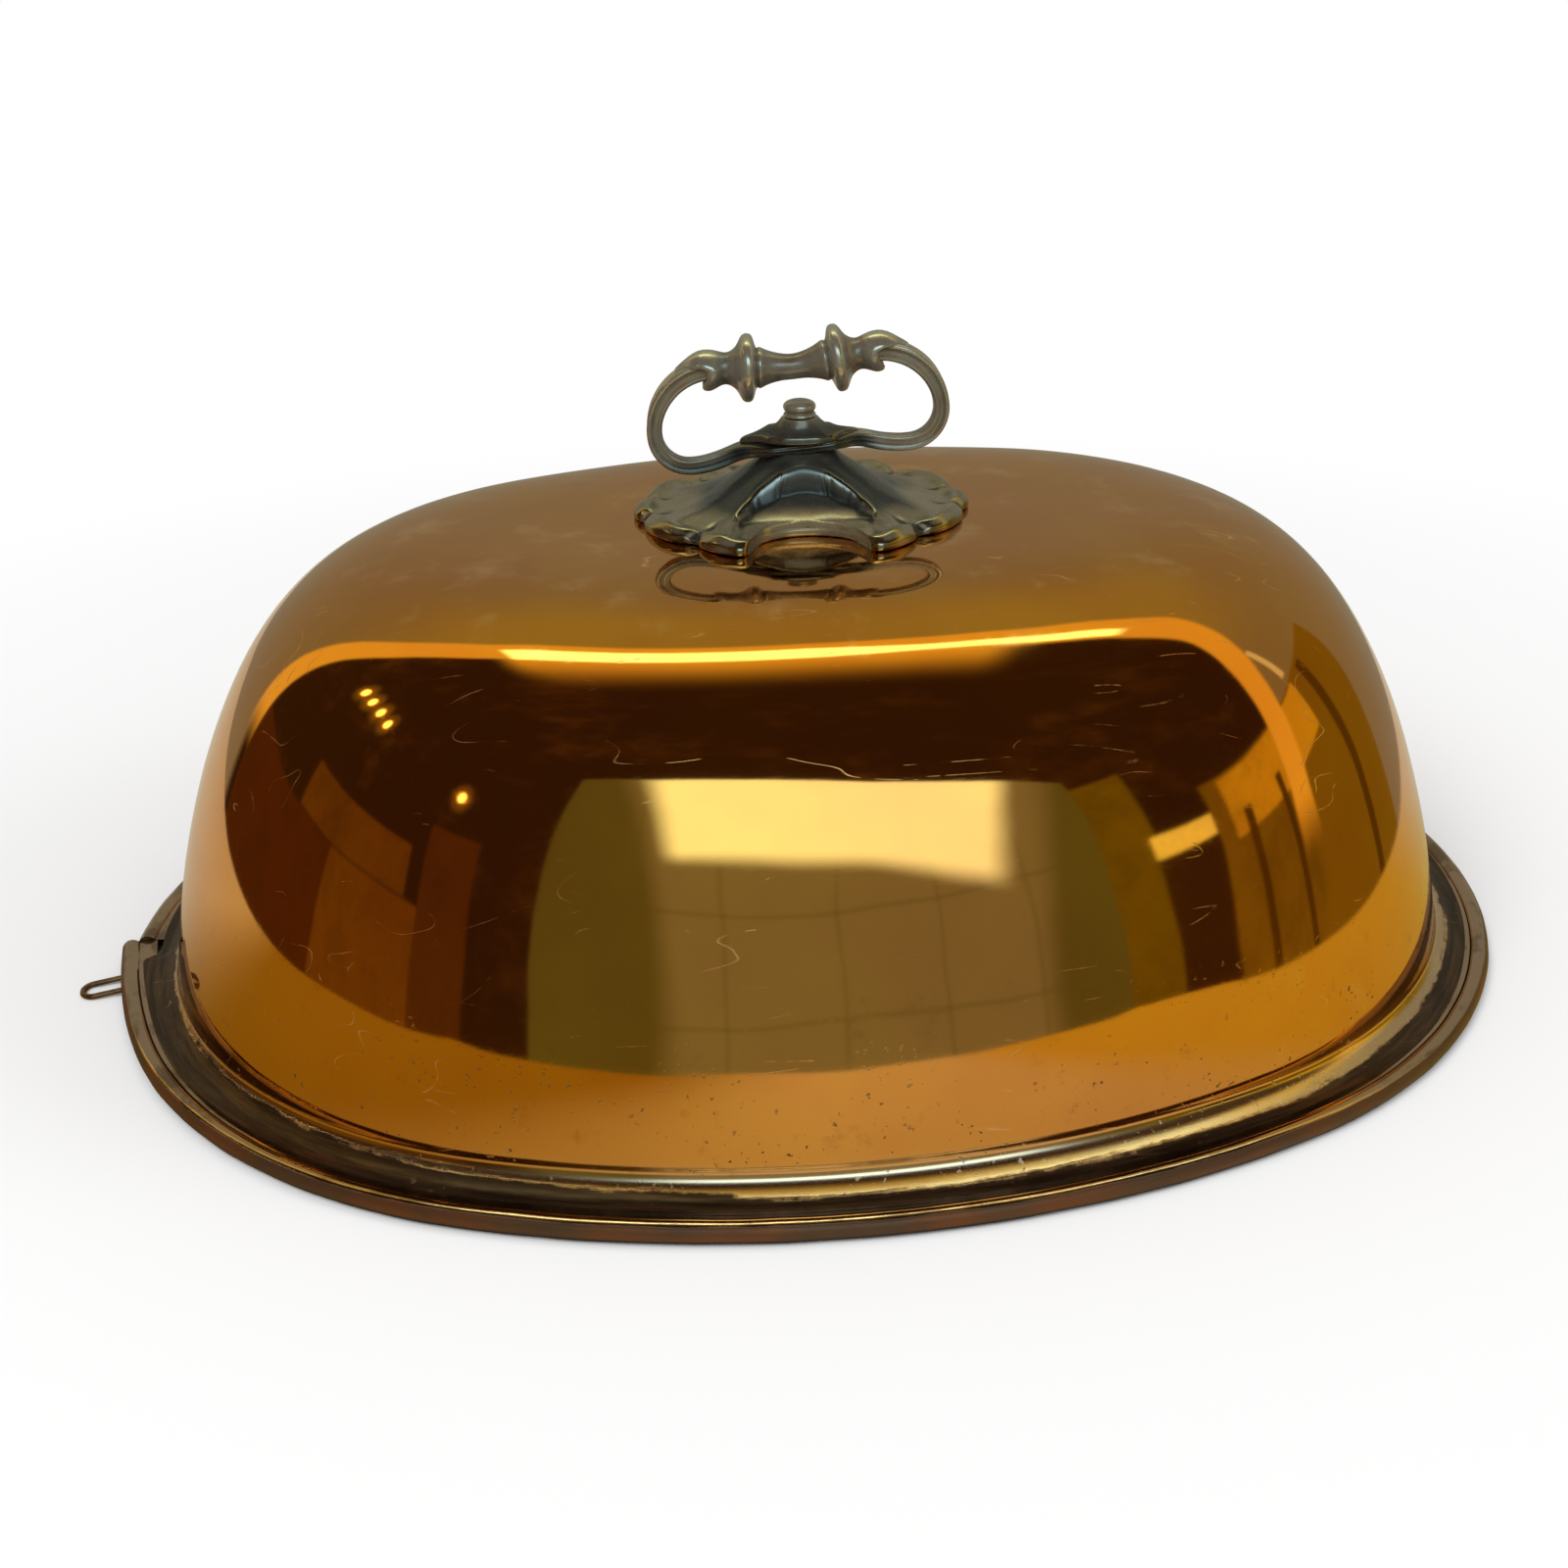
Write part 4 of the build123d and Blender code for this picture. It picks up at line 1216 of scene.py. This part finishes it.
def tentFinish():
    # a room with one pale wall before the cover and a light line overhead
    look = newLook("tentPanels")
    place = look.place()
    x = look.split(place, "X") * (1 / studio["tentRadius"])
    y = look.split(place, "Y") * (1 / studio["tentRadius"])
    z = look.split(place, "Z") * (1 / studio["tentRadius"])
    turn = look.node("ShaderNodeMath", {"operation": "ARCTAN2"}, {0: x, 1: y * -1}) * (180 / math.pi)
    ridge = y - 0.26 + x * 0.10 - x * x * 0.106 + x * x * x * 0.53
    uneven = look.rise(look.noise(place, 700, 5, 0.7), 0.35, 0.75) * 0.4
    light = look.blend(look.rise(z, 0.5, 0.85), room["far"], room["farHigh"])
    front = look.rise(ridge, 0.10, 0.0)
    light = look.blend(front, light, room["dark"])
    smoke = look.rise(look.noise(place, 900, 5, 0.7), 0.50, 0.78)
    light = look.blend(smoke * front * 0.7, light, room["smoke"])
    for left, right, low, high, tint in roomPanels:
        light = look.blend(look.patch(turn, z, left, right, low, high, 0.9), light, tint)
    light = look.blend(uneven * front, light, room["dark"])
    edging = look.band(ridge, 0.03, 0.06, 0.03) * look.rise(z, 0.0, 0.15)
    light = look.blend(edging, light, room["gold"])
    middle = look.band(x, 0.02, 0.30, 0.10)
    glow = look.rise(ridge, -0.42, -0.02) * look.rise(ridge, 0.06, 0.0) * middle
    light = look.blend(glow * glow, light, room["gold"])
    thin = look.rise(x, 0.08, 0.26) * 0.024
    line = look.rise(look.size(ridge) + thin, 0.062, 0.036) * look.band(x, 0.105, 0.385, 0.03)
    light = look.blend(line, light, room["line"])
    under = y * -1.05 - x * 0.26 - z
    wall = look.band(turn, 1.2, 37.2, 0.6) * look.rise(under, 0.0, 0.02) * look.rise(z, -0.17, -0.15)
    tiles = look.band(x, 0.08, 0.37, 0.08)
    light = look.blend(wall, light, look.blend(tiles, room["wall"], room["wallPale"]))
    for edge in (-24, -12, 3, 16, 28):
        light = look.blend(look.band(turn, edge, 0.15, 0.25) * wall * 0.35, light, room["wall"])
    for edge in (0.02, 0.30):
        light = look.blend(look.band(z, edge, 0.003, 0.006) * wall * 0.35, light, room["wall"])
    bright = wall * look.band(x, 0.06, 0.31, 0.07) * look.band(under, 0.24, 0.20, 0.10)
    light = look.blend(bright, light, room["wallBright"])
    for across, up in roomLamps:
        aside = (turn - across) * 0.0175
        away = aside * aside + (z - up) * (z - up)
        light = look.blend(look.rise(away, 0.004, 0.0004) * 0.16, light, room["gold"])
        light = look.blend(look.rise(away, 0.0005, 0.0001), light, room["lamp"])
    shader = look.node("ShaderNodeEmission", {}, {"Color": light, "Strength": 1.0})
    look.node("ShaderNodeOutputMaterial", {}, {"Surface": shader})
    return look.owner


def floorFinish():
    # white to the camera, fading to plain white far off; the copper mirrors a pale table with edges
    look = newLook("paleFloor")
    place = look.place()
    x = look.split(place, "X")
    y = look.split(place, "Y")
    inputs = {"Color": colour(studio["floorTint"]), "Roughness": 0.5}
    lit = look.node("ShaderNodeBsdfDiffuse", {}, inputs)
    plain = look.node("ShaderNodeEmission", {}, {"Color": (1, 1, 1, 1), "Strength": 1.0})
    far = look.rise(x * x + y * y, 0.12, 0.55)
    seen = look.node("ShaderNodeLightPath", {}, {}, "Is Camera Ray")
    pale = look.node("ShaderNodeMixShader", {}, {0: far * seen, 1: lit, 2: plain})
    before = look.rise(y, 0.10, -0.06)
    tint = look.blend(look.rise(x, -0.01, -0.26) * before, room["table"], room["tableLeft"])
    tint = look.blend(look.rise(x, 0.11, 0.22) * before, tint, room["tableRight"])
    table = look.node("ShaderNodeBsdfDiffuse", {}, {"Color": tint})
    nothing = look.node("ShaderNodeBsdfTransparent", {}, {})
    inside = look.band(x, -0.10, 0.52, 0.03) * look.rise(y, -0.62, -0.58) * look.rise(y, 0.9, 0.8)
    mirrored = look.node("ShaderNodeMixShader", {}, {0: inside, 1: nothing, 2: table})
    glossy = look.node("ShaderNodeLightPath", {}, {}, "Is Glossy Ray")
    shader = look.node("ShaderNodeMixShader", {}, {0: glossy, 1: pale, 2: mirrored})
    look.node("ShaderNodeOutputMaterial", {}, {"Surface": shader})
    return look.owner


def makeStudio():
    bpy.ops.object.select_all(action="DESELECT")
    bpy.ops.mesh.primitive_plane_add(size=12)
    floor = bpy.context.object
    floor.name = "floor"
    floor.data.materials.append(floorFinish())
    bpy.ops.object.select_all(action="DESELECT")
    bpy.ops.mesh.primitive_uv_sphere_add(segments=48, ring_count=24, radius=studio["tentRadius"])
    tent = bpy.context.object
    tent.name = "tent"
    tent.data.materials.append(tentFinish())
    tent.visible_camera = False
    tent.visible_diffuse = False
    tent.visible_shadow = False
    tent.visible_transmission = False
    world = Look(bpy.data.worlds.new("studio"))
    bpy.context.scene.world = world.owner
    path = world.node("ShaderNodeLightPath", {}, {}, "Is Camera Ray")
    strength = studio["worldStrength"] + path * (1 - studio["worldStrength"])
    sky = world.node("ShaderNodeBackground", {}, {"Color": colour(studio["worldTint"]), "Strength": strength})
    world.node("ShaderNodeOutputWorld", {}, {"Surface": sky})
    addLamp("key", (-0.9, -1.0, 1.7), 1.1, 1.1, 16)
    addLamp("fill", (1.4, -0.5, 1.0), 0.8, 0.8, 5)


def addLamp(name, place, width, depth, power):
    bpy.ops.object.select_all(action="DESELECT")
    bpy.ops.object.light_add(type="AREA", location=place)
    lamp = bpy.context.object
    lamp.name = name
    lamp.data.shape = "RECTANGLE"
    lamp.data.size = width
    lamp.data.size_y = depth
    lamp.data.energy = power
    lamp.visible_glossy = False
    aim = Vector((0, 0, 0.1)) - Vector(place)
    lamp.rotation_euler = aim.to_track_quat("-Z", "Y").to_euler()


camera = {
    "place": (-95.06, -663.57, 364.06),
    "ahead": (0.11693, 0.90034, -0.41919),
    "up": (0.08082, 0.41206, 0.90757),
    "focal": 2013.65,  # in pixels of the photo's width
    "pictureWidth": 1600,
}


def makeCamera():
    bpy.ops.object.select_all(action="DESELECT")
    bpy.ops.object.camera_add()
    eye = bpy.context.object
    ahead = Vector(camera["ahead"]).normalized()
    up = Vector(camera["up"])
    up = (up - ahead * up.dot(ahead)).normalized()
    side = ahead.cross(up)
    turn = Matrix((side, up, -ahead)).transposed()
    eye.matrix_world = Matrix.Translation(Vector(camera["place"]) * mm) @ turn.to_4x4()
    eye.data.sensor_width = 36
    eye.data.lens = 36 * camera["focal"] / camera["pictureWidth"]
    eye.data.clip_start = 0.01
    bpy.context.scene.camera = eye


pewterLook = pewterFinish()
makeDome()
makeRim()
makeBase()
makeArms()
makeGrip()
makeLeaf()
makeButton()
dressFrame()
makeStudio()
makeCamera()
bpy.context.scene.view_settings.view_transform = "Standard"
